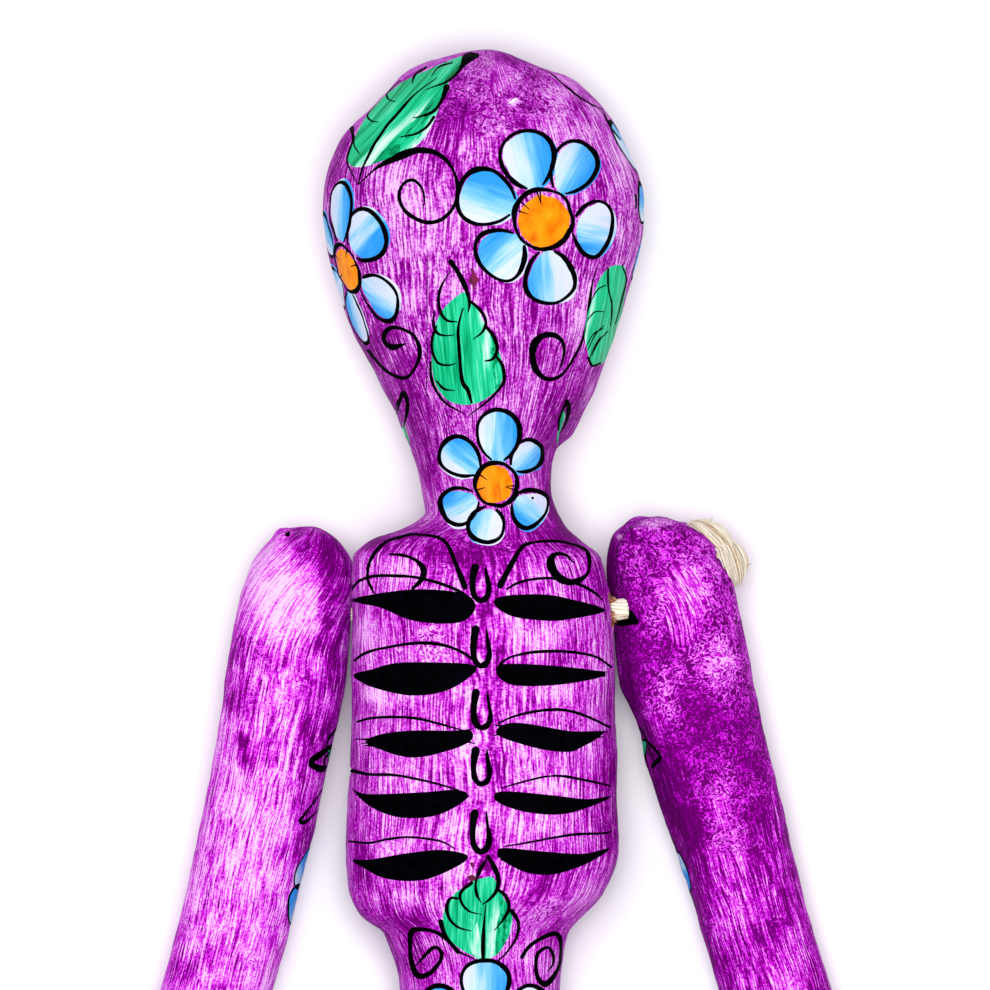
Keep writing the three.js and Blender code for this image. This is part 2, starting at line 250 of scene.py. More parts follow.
def unit(vectors):
    return vectors / np.maximum(1e-9, np.linalg.norm(vectors, axis=-1, keepdims=True))


def uneven(rng, count, weights):
    """Random numbers in a row that follow each other softly."""
    return np.convolve(rng.normal(size=count + len(weights) - 1), weights, "valid")


def mirrored(share, places):
    """Places whose distance to the right is multiplied. A share of -1 mirrors them."""
    return [(share * x, *rest) for x, *rest in places]


def lumps(seed, shortest, longest, height, count=20):
    """A smooth random height over space, from waves of many lengths and directions."""
    rng = np.random.default_rng(seed)
    waves = unit(rng.normal(size=(count, 3))) * 2 * math.pi / rng.uniform(shortest, longest, (count, 1))
    phases = rng.uniform(0, 2 * math.pi, count)
    return lambda points: height * math.sqrt(2 / count) * np.sin(points @ waves.T + phases).sum(-1)


class Form:
    """A domed tube. A place says how far along it a point is, and an angle how far round it. The
    brush marks near its start can lean."""

    lean = 0

    def __init__(self, seam, relief):
        self.seam = math.radians(seam)
        self.relief = relief
        turn = np.linspace(0, math.pi, LENGTH_STEPS)
        self.places = self.end * (1 - np.cos(turn)) / 2
        s = self.section(self.places)
        size = (2 * s.half + s.front + s.rear) / 4
        steps = np.hypot(np.diff(self.places), np.diff(size))
        self.skin_lengths = np.append(0, np.cumsum(steps))
        self.radius = np.average(size, weights=np.append(steps, 0))

    def across_and_up(self, angle, s):
        across, rise = on_section(angle, s.square)
        return across * s.half, rise * np.where(rise > 0, s.rear, s.front)

    def base(self, angle, skin_length):
        """Points of the bare form."""
        s = self.section(np.interp(skin_length, self.skin_lengths, self.places))
        across, up = self.across_and_up(angle, s)
        across, up = self.flattened(across, up, s)
        points = s.middle + s.side * across[:, None] + s.back * up[:, None]
        points[:, 2] = np.maximum(0, points[:, 2])
        return points

    def flattened(self, across, up, s):
        return across, up

    def normals(self, surface, angle, skin_length, reach=0.8):
        turn = reach / self.radius
        round_it = surface(angle + turn, skin_length) - surface(angle - turn, skin_length)
        along_it = surface(angle, skin_length + reach) - surface(angle, skin_length - reach)
        return unit(np.cross(along_it, round_it))

    def surface(self, angle, skin_length):
        """Points of the form with its lumps, dents and creases."""
        points = self.base(angle, skin_length)
        points = points + self.normals(self.base, angle, skin_length) * self.relief(points)[:, None]
        points[:, 2] = np.maximum(0, points[:, 2])
        return points

    def locate(self, views, drawn):
        """The angles of points that are drawn across and along a view from the side at an angle."""
        views = np.radians(views)[:, None]
        angles = views + DRAWING_REACH
        s = self.section(drawn[:, 1])
        wide = SimpleNamespace(**{k: v[:, None] for k, v in vars(s).items() if v.ndim == 1})
        seen = self.seen(views, angles, wide)
        seen = np.maximum.accumulate(seen[:, ::-1], axis=1)[:, ::-1]
        return np.array([np.interp(-p, -row, turns) for p, row, turns in zip(drawn[:, 0], seen, angles)])


def on_section(angle, square):
    """A point of a superellipse that reaches from -1 to 1 each way."""
    parts = np.cos(angle), np.sin(angle)
    return [np.sign(part) * np.abs(part) ** (2 / square) for part in parts]


class Body(Form):
    end = BODY_END
    table = staticmethod(smooth_table(BODY_ROWS))

    def section(self, place):
        left, right, front, back, square = self.table(place).T
        shrink = dome_share(place, CROWN_DOME) * dome_share(BODY_END - place, PELVIS_DOME)
        middle = np.stack([(right - left) / 2, place, (front + back) / 2], -1)
        depth = (back - front) / 2 * shrink
        half = (right + left) / 2 * shrink
        side, rear = np.array([[1.0, 0, 0]]), np.array([[0, 0, 1.0]])
        return SimpleNamespace(
            middle=middle, side=side, back=rear, half=half, front=depth, rear=depth,
            square=square, down=place, shift=middle[:, 0], rise=middle[:, 2] - SIDE_MIDDLE,
        )

    def across_and_up(self, angle, s):
        across, rise = on_section(angle, s.square)
        nape = np.maximum(0, across) * np.sqrt(np.maximum(0, rise))
        pull = JAW_PULL * hill((s.down - JAW_DOWN) / JAW_REACH) * nape
        x = across * s.half * (1 - pull)
        sunk = sum(
            depth * hill(np.hypot((x + s.shift - FACE_SHIFT - right) / wide, (s.down - down) / high))
            for right, down, wide, high, depth in FACE_FORMS
        )
        return x, rise * s.rear + sunk * np.sqrt(np.maximum(0, -rise))

    def seen(self, views, angles, s):
        """How far across the view points are."""
        across, up = self.across_and_up(angles, s)
        return np.sin(views) * (across + s.shift) - np.cos(views) * (up + s.rise)


class Limb(Form):
    def __init__(self, rows, domes, seam, relief, facets=(), lean=0):
        self.lean = lean
        rows = np.array(rows, float)
        steps = np.linalg.norm(np.diff(rows[:, :3], axis=0), axis=1)
        runs = np.append(0, np.cumsum(steps))
        self.table = smooth_table(np.column_stack([runs, rows]))
        self.end = runs[-1]
        self.domes = domes
        self.facets = facets
        super().__init__(seam, relief)

    def section(self, run):
        row = self.table(run)
        ahead = unit(self.table(run + 1)[:, :3] - self.table(run - 1)[:, :3])
        side = unit(np.array([[1.0, 0, 0]]) - ahead * ahead[:, :1])
        shrink = dome_share(run, self.domes[0]) * dome_share(self.end - run, self.domes[1])
        half, front, rear = (row[:, 3:] * shrink[:, None]).T
        return SimpleNamespace(
            middle=row[:, :3], side=side, back=np.cross(side, ahead), half=half, front=front,
            rear=rear, square=np.full(len(run), 2.0), down=run,
        )

    def flattened(self, across, up, s):
        for turn, keep, start, stop in self.facets:
            way = math.cos(math.radians(turn)), math.sin(math.radians(turn))
            reach = across * way[0] + up * way[1]
            limit = keep * np.hypot(way[0] * s.half, way[1] * s.rear)
            share = hill(np.clip((s.down - (start + stop) / 2) / (stop - start) * 2, -1, 1) ** 3)
            over = np.maximum(0, reach - limit) * share
            across, up = across - over * way[0], up - over * way[1]
        return across, up

    def seen(self, views, angles, s):
        """A drawing is wrapped round a limb."""
        turned = (views - angles + math.pi) % (2 * math.pi) - math.pi
        return turned * np.maximum(LEAST_RADIUS, (2 * s.half + s.front + s.rear) / 4)


# Drawing on a form


def smooth(points, step=DRAW_STEP, closed=False):
    """A smooth line through points, in small steps."""
    points = np.array(points, float)
    if closed:
        ring = np.concatenate([points[-1:], points, points[:2]])
    else:
        ring = np.concatenate([2 * points[:1] - points[1:2], points, 2 * points[-1:] - points[-2:-1]])
    line = []
    for a, b, c, d in zip(ring, ring[1:], ring[2:], ring[3:]):
        count = max(2, math.ceil(np.linalg.norm((c - b)[:2]) / step))
        t = np.arange(count)[:, None] / count
        curve = 2 * b + (c - a) * t + (2 * a - 5 * b + 4 * c - d) * t**2 + (3 * b - a - 3 * c + d) * t**3
        line.append(curve / 2)
    if not closed:
        line.append(points[-1:])
    return np.concatenate(line)


class Canvas:
    """The painted areas of a form, in the order in which they are painted. They are drawn across
    and along a view of the form, as it looks from the side that faces it."""

    def __init__(self, form, seed):
        self.form = form
        self.areas = []
        self.rng = np.random.default_rng(seed)

    def area(self, view, outline, paint, base=(0, 0), tip=(0, 1), half_width=1.0, blue=1.0):
        base, tip = np.array(base, float), np.array(tip, float)
        ahead = tip - base
        length = np.hypot(*ahead)
        to_the_right = np.array([-ahead[1], ahead[0]]) / length
        self.areas.append(
            SimpleNamespace(
                view=view, outline=np.array(outline, float), paint=PAINTS.index(paint), base=base,
                along=ahead / length**2, across=to_the_right / half_width, blue=blue,
                seed=self.rng.uniform(0, 50),
            )
        )

    def blob(self, view, points, paint="ink", **how):
        self.area(view, smooth(points, closed=True), paint, **how)

    def stroke(self, view, line, width=None, paint="ink"):
        """A brush stroke along (across, along, width)."""
        if width is not None:
            line = [(x, y, width) for x, y in line]
        line = smooth(line)
        wobble = 1 + STROKE_WOBBLE * uneven(self.rng, len(line), np.ones(5) / 2.2)
        middle, half = line[:, :2], np.maximum(THINNEST, line[:, 2] * wobble / 2)[:, None]
        ahead = unit(np.gradient(middle, axis=0)) * half
        aside = np.column_stack([-ahead[:, 1], ahead[:, 0]])
        turns = np.linspace(0, math.pi, 7)[1:-1, None]
        stop = middle[-1] + aside[-1] * np.cos(turns) + ahead[-1] * np.sin(turns)
        start = middle[0] - aside[0] * np.cos(turns) - ahead[0] * np.sin(turns)
        self.area(view, np.concatenate([middle + aside, stop, (middle - aside)[::-1], start]), paint)

    def strokes(self, view, lines):
        for line in lines:
            self.stroke(view, line)


def egg(base, tip, width, wobble=0.0, rng=None, count=26):
    """An egg's outline, narrow at its base."""
    base, tip = np.array(base, float), np.array(tip, float)
    ahead = tip - base
    aside = np.array([-ahead[1], ahead[0]]) / np.hypot(*ahead)
    turn = np.linspace(0, 2 * math.pi, count, endpoint=False)
    along = 0.5 - 0.5 * np.cos(turn)
    across = np.sin(turn) * (0.74 + 0.4 * along)
    across *= 0.5 * width / across.max()
    line = base + ahead * along[:, None] + aside * across[:, None]
    if wobble:
        line += np.column_stack([uneven(rng, count, np.ones(3) / 3) for _ in range(2)]) * wobble
    return line


def flower(canvas, view, centre, disc, petals, slip=(2, 1), disc_slip=(2, 1), pen=4.6):
    """A flower: its disc's radius, and for each petal its tip, its width and how blue it is. Its
    colours slip a little from under its outlines."""
    centre, slip, disc_slip = (np.array(pair, float) for pair in (centre, slip, disc_slip))
    rng = canvas.rng
    fill_wobble, line_wobble, disc_wobble = 0.9, 0.5, 0.02
    outlines = []
    for x, y, width, blue in petals:
        way = unit(np.array([x, y], float))
        foot, tip = centre + way * (disc + 1), centre + (x, y)
        fill = egg(foot, tip + way * 0.8, width + 1, fill_wobble, rng) + slip
        canvas.area(view, fill, "petal", base=foot, tip=tip, half_width=width / 2, blue=blue)
        outlines.append((foot, tip, width))
    for foot, tip, width in outlines:
        # The outline is open at the petal's foot, and the brush swells along it
        line = np.roll(egg(foot, tip, width, line_wobble, rng, 30), -2, axis=0)[:27]
        thick = pen * (0.72 + 0.4 * np.sin(np.linspace(0.3, rng.uniform(3.4, 5.4), len(line))) ** 2)
        thick[[0, -1]] *= 0.6
        canvas.stroke(view, np.column_stack([line, thick])[::2])

    def ring(turn):
        """A circle at the disc's edge, a little uneven."""
        radii = disc * (1 + disc_wobble * rng.normal(size=turn.shape))
        return np.hstack([np.cos(turn), np.sin(turn)]) * radii

    turn = np.linspace(0, 2 * math.pi, 22, endpoint=False)[:, None]
    canvas.blob(view, centre + disc_slip + ring(turn) * 0.88, "orange")
    turn = np.linspace(0.4, 0.4 + 2 * math.pi, 20)[:, None]
    canvas.stroke(view, np.hstack([centre + ring(turn), pen * (0.95 + 0.25 * np.sin(2 * turn))]))
    # Short ticks from the disc's edge towards its middle
    for turn in rng.uniform(0, 2 * math.pi, 4):
        way = np.array([math.cos(turn), math.sin(turn)])
        outer, inner = centre + way * disc, centre + way * disc * 0.5 + rng.normal(size=2)
        canvas.stroke(view, [(*outer, 2.2), (*inner, 0.8)])


def round_petals(count, reach, width, turn=0.0, blue=0.9):
    """Petals of one size all round."""
    turns = [math.radians(turn) + 2 * math.pi * i / count for i in range(count)]
    return [(reach * math.sin(a), -reach * math.cos(a), width, blue) for a in turns]


def leaf(canvas, view, base, tip, width, pale=1.0):
    """A plain leaf with a midrib, an outline and veins."""
    veins, pen = 4, 3.0
    base, tip = np.array(base, float), np.array(tip, float)
    ahead = tip - base
    aside = np.array([-ahead[1], ahead[0]]) / np.hypot(*ahead) * width / 2

    def at(along, across):
        return tuple(base + ahead * along + aside * across)

    edge = [(0.02, 0), (0.14, 0.72), (0.36, 1.0), (0.6, 0.86), (0.82, 0.48), (1.0, 0)]
    fill = [at(a, b) for a, b in edge] + [at(a, -b) for a, b in edge[-2:0:-1]]
    canvas.blob(view, fill, "leaf", base=base, tip=tip, half_width=width / 2, blue=pale)
    for side in (-1, 1):
        outline = [(*at(a, b * side * 1.04), pen * (0.6 + 0.5 * math.sin(math.pi * a))) for a, b in edge]
        canvas.stroke(view, outline)
        for i in range(veins):
            a = 0.16 + 0.62 * i / veins
            line = [at(a, 0), at(a + 0.1, 0.3 * side), at(a + 0.22, (0.78 - 0.5 * a) * side)]
            canvas.stroke(view, [(*p, w) for p, w in zip(line, (1.2, 1.8, 1.0))])
    canvas.stroke(view, [(*at(-0.12, 0), pen), (*at(0.3, 0.04), pen * 0.8), (*at(0.8, 0), 1.2)])


def scroll(canvas, view, centre, radius, turn, way=1):
    """A curl that winds in to its centre."""
    turns, pen = 1.35, 4.5
    t = np.linspace(0, 1, 14)
    angle = math.radians(turn) + way * 2 * math.pi * turns * t
    reach = radius * (1 - 0.8 * t)
    line = np.array(centre) + np.column_stack([np.cos(angle), np.sin(angle)]) * reach[:, None]
    canvas.stroke(view, np.column_stack([line, pen * (0.35 + 1.1 * np.sin(math.pi * t**0.7) ** 2)]))


# From a form and its drawing to a mesh


def lay_out(form, canvas):
    """The painted areas' outlines, unrolled, each with its area's number. An area that crosses
    the seam is laid out on both sides of it."""
    if not canvas.areas:
        return []
    sizes = [len(area.outline) for area in canvas.areas]
    drawn = np.concatenate([area.outline for area in canvas.areas])
    drawn[:, 1] = np.clip(drawn[:, 1], form.places[2], form.places[-3])
    angles = form.locate(np.repeat([area.view for area in canvas.areas], sizes), drawn) - form.seam
    flat = np.column_stack([angles * form.radius, np.interp(drawn[:, 1], form.places, form.skin_lengths)])
    width, height = 2 * math.pi * form.radius, form.skin_lengths[-1]
    laid = []
    for number, outline in enumerate(np.split(flat, np.cumsum(sizes)[:-1])):
        outline[:, 0] -= width * math.floor(outline[:, 0].mean() / width)
        for shift in (0, width, -width):
            moved = outline + (shift, 0)
            if moved[:, 0].max() > SEAM_GAP and moved[:, 0].min() < width - SEAM_GAP:
                low, high = (SEAM_GAP, END_GAP), (width - SEAM_GAP, height - END_GAP)
                laid.append((number, np.clip(moved, low, high)))
    return laid


def inside(points, outline):
    """Whether points lie within an outline, which may cross itself."""
    x, y = points[:, :1], points[:, 1:]
    x0, y0 = outline.T
    x1, y1 = np.roll(outline, -1, axis=0).T
    side = (x1 - x0) * (y - y0) - (x - x0) * (y1 - y0)
    rising = (y0 <= y) & (y1 > y) & (side > 0)
    falling = (y0 > y) & (y1 <= y) & (side < 0)
    return rising.sum(1) != falling.sum(1)


def free_points(size, columns, rows, outlines):
    """The inner points of a grid, without those too near to an outline."""
    taken = np.zeros([int(length / CELL) + 4 for length in size], bool)
    if outlines:
        at = (np.concatenate(outlines) / CELL).astype(int) + 1
        for right in (-1, 0, 1):
            for down in (-1, 0, 1):
                taken[at[:, 0] + right, at[:, 1] + down] = True
    inner = np.stack(np.meshgrid(columns[1:-1], rows[1:-1], indexing="ij"), -1).reshape(-1, 2)
    cells = (inner / CELL).astype(int) + 1
    return inner[~taken[cells[:, 0], cells[:, 1]]]


def flat_mesh(columns, rows, inner, outlines):
    """Flat triangles between a grid's border, its inner points and outlines, which stay edges."""
    edge = np.concatenate([
        np.column_stack([np.zeros(len(rows)), rows]),
        np.column_stack([columns[1:-1], np.full(len(columns) - 2, rows[-1])]),
        np.column_stack([np.full(len(rows), columns[-1]), rows[::-1]]),
        np.column_stack([columns[-2:0:-1], np.full(len(columns) - 2, rows[0])]),
    ])
    drawn = np.concatenate([*outlines, np.zeros((0, 2))])
    drawn, names = np.unique(np.round(drawn, 4), axis=0, return_inverse=True)
    names = names.reshape(-1) + len(edge) + len(inner)
    links, start = [(i, (i + 1) % len(edge)) for i in range(len(edge))], 0
    for outline in outlines:
        ids = names[start : start + len(outline)].tolist()
        start += len(outline)
        links += [(a, b) for a, b in zip(ids, ids[1:] + ids[:1]) if a != b]
    flat = [Vector(p) for p in np.concatenate([edge, inner, drawn])]
    made, _, triangles, *_ = delaunay_2d_cdt(flat, links, [], 0, MERGED, False)
    return np.array([tuple(p) for p in made]), np.array(triangles)


def skin(form, canvas):
    """The form's skin as triangles that follow the edges of the painted areas."""
    width, height = 2 * math.pi * form.radius, form.skin_lengths[-1]
    columns = np.linspace(0, width, round(width / SKIN_SPACING) + 1)
    rows = np.linspace(SKIN_SPACING / 2, height - SKIN_SPACING / 2, round(height / SKIN_SPACING))
    laid = lay_out(form, canvas)
    outlines = [outline for _, outline in laid]
    inner = free_points((width, height), columns, rows, outlines)
    flat, triangles = flat_mesh(columns, rows, inner, outlines)

    # A triangle belongs to the last area that was painted over it
    centres = flat[triangles].mean(1)
    tops = np.full(len(triangles), -1)
    for number, outline in laid:
        low, high = outline.min(0), outline.max(0)
        near = np.nonzero(((centres > low) & (centres < high)).all(1))[0]
        tops[near[inside(centres[near], outline)]] = number

    # The two sides of the seam are one line of points
    levels = np.round(flat[:, 1] / SKIN_SPACING * 20).astype(int)
    seam = {levels[i]: i for i in np.nonzero(flat[:, 0] < AT_SEAM)[0]}
    same = np.arange(len(flat))
    for i in np.nonzero(flat[:, 0] > width - AT_SEAM)[0]:
        same[i] = seam[levels[i]]
    triangles = same[triangles]

    # The ends are closed by fans
    fans = []
    for row, pole, flip in ((rows[0], len(flat), False), (rows[-1], len(flat) + 1, True)):
        ids = np.nonzero(np.abs(flat[:, 1] - row) < AT_ROW)[0]
        ids = same[ids[np.argsort(flat[ids, 0])]]
        for a, b in zip(ids, ids[1:]):
            fans.append((pole, a, b) if flip else (pole, b, a))
    flat = np.vstack([flat, [0, 0], [0, height]])
    triangles = np.vstack([triangles, fans])
    tops = np.append(tops, np.full(len(fans), -1))

    angle = form.seam + flat[:, 0] / form.radius
    points = form.surface(angle, flat[:, 1])
    normals = form.normals(form.surface, angle, flat[:, 1])
    tips, nearby = (form.section(np.array([away, form.end - away])).middle for away in (0.01, 3.0))
    normals[-2:] = unit(tips - nearby)

    s = form.section(np.interp(flat[:, 1], form.skin_lengths, form.places))
    spots = corner_spots(form, canvas, triangles, tops, angle, s)
    used, compact = np.unique(triangles, return_inverse=True)
    turned = angle + form.lean * hill(np.minimum(1, flat[:, 1] / LEAN_LENGTH))
    grain = np.column_stack([form.radius * np.cos(turned), form.radius * np.sin(turned), flat[:, 1]])
    paints = np.array([*(area.paint for area in canvas.areas), PAINTS.index("purple")])[tops]
    return SimpleNamespace(
        points=points[used], normals=normals[used], grain=grain[used],
        triangles=compact.reshape(-1, 3), paints=paints, spots=spots,
    )


def corner_spots(form, canvas, triangles, tops, angle, s):
    """For each corner of each triangle, its place along and across its painted area, and a seed. A
    negative blue swaps the area's sides, and a large one moves it to the bluer side."""
    spots = np.zeros((len(triangles), 3, 3))
    painted = np.nonzero(tops >= 0)[0]
    if not len(painted):
        return spots
    top = tops[painted]
    corners = triangles[painted]
    at = SimpleNamespace(**{k: v[corners] for k, v in vars(s).items() if v.ndim == 1})
    view = np.radians([area.view for area in canvas.areas])[top][:, None]
    drawn = np.stack([form.seen(view, angle[corners], at), at.down], -1)

    def of_areas(name):
        return np.array([getattr(area, name) for area in canvas.areas])[top][:, None]

    away = drawn - of_areas("base")
    spots[painted, :, 0] = (away * of_areas("along")).sum(-1)
    blue = of_areas("blue")
    across = (away * of_areas("across")).sum(-1)
    spots[painted, :, 1] = across * np.sign(blue) + BLUE_SHIFT * (np.abs(blue) - 1)
    spots[painted, :, 2] = of_areas("seed")
    return spots


def linked(name, data):
    """A new object in the scene."""
    made = bpy.data.objects.new(name, data)
    bpy.context.scene.collection.objects.link(made)
    return made


def make_mesh(name, parts, materials, body="root"):
    """One object of several skins. A part holds points, triangles and what its skin carries."""

    def of_parts(field):
        return np.concatenate([getattr(part, field) for part in parts])

    offsets = np.cumsum([0] + [len(part.points) for part in parts])
    triangles = np.concatenate([part.triangles + offset for part, offset in zip(parts, offsets)])
    mesh = bpy.data.meshes.new(name)
    mesh.vertices.add(offsets[-1])
    mesh.vertices.foreach_set("co", to_metres(of_parts("points")).ravel())
    mesh.loops.add(triangles.size)
    mesh.loops.foreach_set("vertex_index", triangles.ravel().astype(np.int32))
    mesh.polygons.add(len(triangles))
    mesh.polygons.foreach_set("loop_start", np.arange(0, triangles.size, 3, dtype=np.int32))
    mesh.polygons.foreach_set("material_index", of_parts("paints").astype(np.int32))
    mesh.polygons.foreach_set("use_smooth", np.ones(len(triangles), bool))
    for material in materials:
        mesh.materials.append(material)
    grain = mesh.attributes.new("grain", "FLOAT_VECTOR", "POINT")
    grain.data.foreach_set("vector", of_parts("grain").ravel())
    for look in ("tone", "worn", "rich"):
        amount = mesh.attributes.new(look, "FLOAT", "POINT")
        amount.data.foreach_set("value", of_parts(look))
    spot = mesh.attributes.new("spot", "FLOAT_VECTOR", "CORNER")
    spot.data.foreach_set("vector", of_parts("spots").ravel())
    mesh.update()
    mesh.validate()
    normals = of_parts("normals") * DOWN_IS_MINUS_Y
    mesh.normals_split_custom_set_from_vertices([tuple(normal) for normal in normals])
    made = linked(name, mesh)
    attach(made, body)
    return made


# Materials


def srgb(red, green, blue):
    values = np.array([red, green, blue]) / 255
    linear = np.where(values <= 0.04045, values / 12.92, ((values + 0.055) / 1.055) ** 2.4)
    return (*linear, 1.0)


class Recipe:
    """A material made node by node. A number or a socket can go into any input."""

    def __init__(self, name, roughness, specular):
        self.material = bpy.data.materials.new(name)
        self.material.use_nodes = True
        self.tree = self.material.node_tree
        self.shader = self.tree.nodes["Principled BSDF"]
        self.shader.inputs["Roughness"].default_value = roughness
        self.shader.inputs["Specular IOR Level"].default_value = specular

    def feed(self, socket, value):
        if isinstance(value, bpy.types.NodeSocket):
            self.tree.links.new(value, socket)
        else:
            socket.default_value = value

    def node(self, kind, inputs=(), **settings):
        """A node with its settings, and with what goes into its inputs, in a row or by name."""
        node = self.tree.nodes.new("ShaderNode" + kind)
        for name, value in settings.items():
            setattr(node, name, value)
        for key, value in inputs.items() if isinstance(inputs, dict) else enumerate(inputs):
            self.feed(node.inputs[key], value)
        return node

    def attribute(self, name, output="Vector"):
        return self.node("Attribute", attribute_name=name).outputs[output]

    def math(self, operation, *values):
        return self.node("Math", values, operation=operation).outputs[0]

    def vector_math(self, operation, *vectors):
        return self.node("VectorMath", vectors, operation=operation).outputs[0]

    def axes(self, vector):
        return self.node("SeparateXYZ", [vector]).outputs

    def noise(self, vector, scale, detail=2.0, roughness=0.5, distortion=0.0, output="Fac"):
        scaled = self.vector_math("MULTIPLY", vector, scale)
        inputs = {"Scale": 1.0, "Detail": detail, "Roughness": roughness, "Distortion": distortion}
        return self.node("TexNoise", {"Vector": scaled, **inputs}).outputs[output]

    def swayed(self, value, *noises):
        """A value that noises push up and down, each by its amount."""
        for noise, amount in noises:
            value = self.math("MULTIPLY_ADD", self.math("SUBTRACT", noise, 0.5), amount, value)
        return value

    def between(self, value, low, high, to_low=0.0, to_high=1.0):
        inputs = (value, low, high, to_low, to_high)
        return self.node("MapRange", inputs, interpolation_type="SMOOTHSTEP").outputs[0]

    def ramp(self, value, stops):
        node = self.node("ValToRGB", [value])
        elements = node.color_ramp.elements
        while len(elements) < len(stops):
            elements.new(0.5)
        for element, (place, colour) in zip(elements, stops):
            element.position = place
            element.color = srgb(*colour)
        return node.outputs["Color"]

    def mix(self, share, a, b):
        return self.node("Mix", {"Factor": share, "A": a, "B": b}, data_type="RGBA").outputs["Result"]

    def finish(self, colour, height=None, depth=0.0):
        """The finished material, with bumps of a depth in metres if a height is given."""
        self.feed(self.shader.inputs["Base Color"], colour)
        if height is not None:
            bump = self.node("Bump", {"Distance": depth, "Height": height})
            self.feed(self.shader.inputs["Normal"], bump.outputs["Normal"])
        return self.material


def wiped(recipe, grain, worn):
    """How much of the glaze has been wiped off: fine streaks along the form, and crackle where
    the paint is worn."""
    bend = recipe.noise(grain, (0.013, 0.013, 0.01), output="Color")
    bent = recipe.vector_math("ADD", grain, recipe.vector_math("MULTIPLY", bend, (14, 14, 14)))
    streaks = recipe.noise(bent, (0.24, 0.24, 0.012), 2.0, 0.6)
    hairs = recipe.noise(bent, (0.8, 0.8, 0.024), 2.0, 0.55)
    speck = recipe.noise(grain, (0.52, 0.52, 0.4), 2.0, 0.7)
    brushed = recipe.swayed(0.5, (streaks, 0.9), (hairs, 3.1), (speck, 1.6))
    worms = recipe.noise(grain, (0.16, 0.16, 0.13), 2.6, 0.62, 1.3)
    worms = recipe.math("ABSOLUTE", recipe.math("SUBTRACT", worms, 0.5))
    worms = recipe.swayed(recipe.between(worms, 0.0, 0.1, 1.0, 0.16), (speck, 1.3))
    patch = recipe.noise(grain, (0.03, 0.03, 0.026))
    where = recipe.between(recipe.math("MULTIPLY_ADD", worn, 0.25, patch), 0.54, 0.76, 0.0, 0.88)
    return recipe.mix(where, brushed, worms), streaks, worms


# The glaze from its thick to its thin places, dull on the head and rich on the limbs
GLAZE_LEVEL, TONE_AND_SHADE_STRENGTH = 0.5, 0.42
DULL_GLAZE = [
    (0.0, (104, 0, 106)), (0.2, (138, 2, 143)), (0.4, (165, 26, 173)), (0.6, (192, 84, 201)),
    (0.8, (211, 134, 219)), (1.0, (230, 180, 236)),
]
RICH_GLAZE = [
    (0.0, (96, 0, 98)), (0.12, (138, 0, 144)), (0.24, (172, 0, 182)), (0.4, (199, 24, 212)),
    (0.6, (218, 84, 229)), (0.8, (229, 138, 238)), (1.0, (242, 192, 246)),
]


def purple_paint():
    recipe = Recipe("wiped_purple_paint", 0.5, 0.01)
    grain = recipe.attribute("grain")
    fine, streaks, worms = wiped(recipe, grain, recipe.attribute("worn", "Fac"))
    blotch = recipe.noise(grain, (0.022, 0.022, 0.018), 4.0, 0.65)
    patch = recipe.noise(grain, (0.085, 0.085, 0.05), 3.0, 0.6, 0.5)
    value = recipe.swayed(GLAZE_LEVEL, (fine, 0.95), (blotch, 1.1), (patch, 0.5))
    # The lightness dabs add painted shade and painted highlights to the glaze's own patches
    value = recipe.math("MULTIPLY_ADD", recipe.attribute("tone", "Fac"), TONE_AND_SHADE_STRENGTH, value)
    dull, rich = recipe.ramp(value, DULL_GLAZE), recipe.ramp(value, RICH_GLAZE)
    colour = recipe.mix(recipe.attribute("rich", "Fac"), dull, rich)
    return recipe.finish(colour, recipe.math("MULTIPLY_ADD", worms, 0.4, streaks), 0.00018)


def ink_paint():
    recipe = Recipe("black_brush_paint", 0.6, 0.005)
    grain = recipe.attribute("grain")
    mottle = recipe.noise(grain, (0.12, 0.12, 0.1), 3.0)
    colour = recipe.ramp(mottle, [(0.35, (0, 0, 0)), (0.75, (2, 2, 9))])
    return recipe.finish(colour, recipe.noise(grain, (0.5, 0.5, 0.06)), 0.0001)


def petal_paint():
    """Blue on one side of a petal and white on the other, with streaks along it."""
    recipe = Recipe("blue_petal_paint", 0.45, 0.05)
    spot = recipe.attribute("spot")
    streaks = recipe.noise(spot, (0.7, 3.6, 7.0))
    fine = recipe.noise(spot, (1.8, 16.0, 7.0), 2.0, 0.6)
    broad = recipe.noise(spot, (0.9, 0.9, 3.0))
    across = recipe.axes(spot)[1]
    value = recipe.between(recipe.swayed(across, (streaks, 1.3), (broad, 1.3)), -1.2, 0.95)
    value = recipe.swayed(value, (fine, 0.46))
    blue = recipe.ramp(value, [
        (0.0, (208, 222, 236)), (0.28, (180, 208, 236)), (0.5, (132, 192, 234)),
        (0.72, (82, 168, 232)), (1.0, (36, 140, 228)),
    ])
    lilac = recipe.between(recipe.math("SUBTRACT", broad, value), 0.1, 0.5, 0.0, 0.5)
    return recipe.finish(recipe.mix(lilac, blue, srgb(204, 198, 230)), streaks, 0.0001)


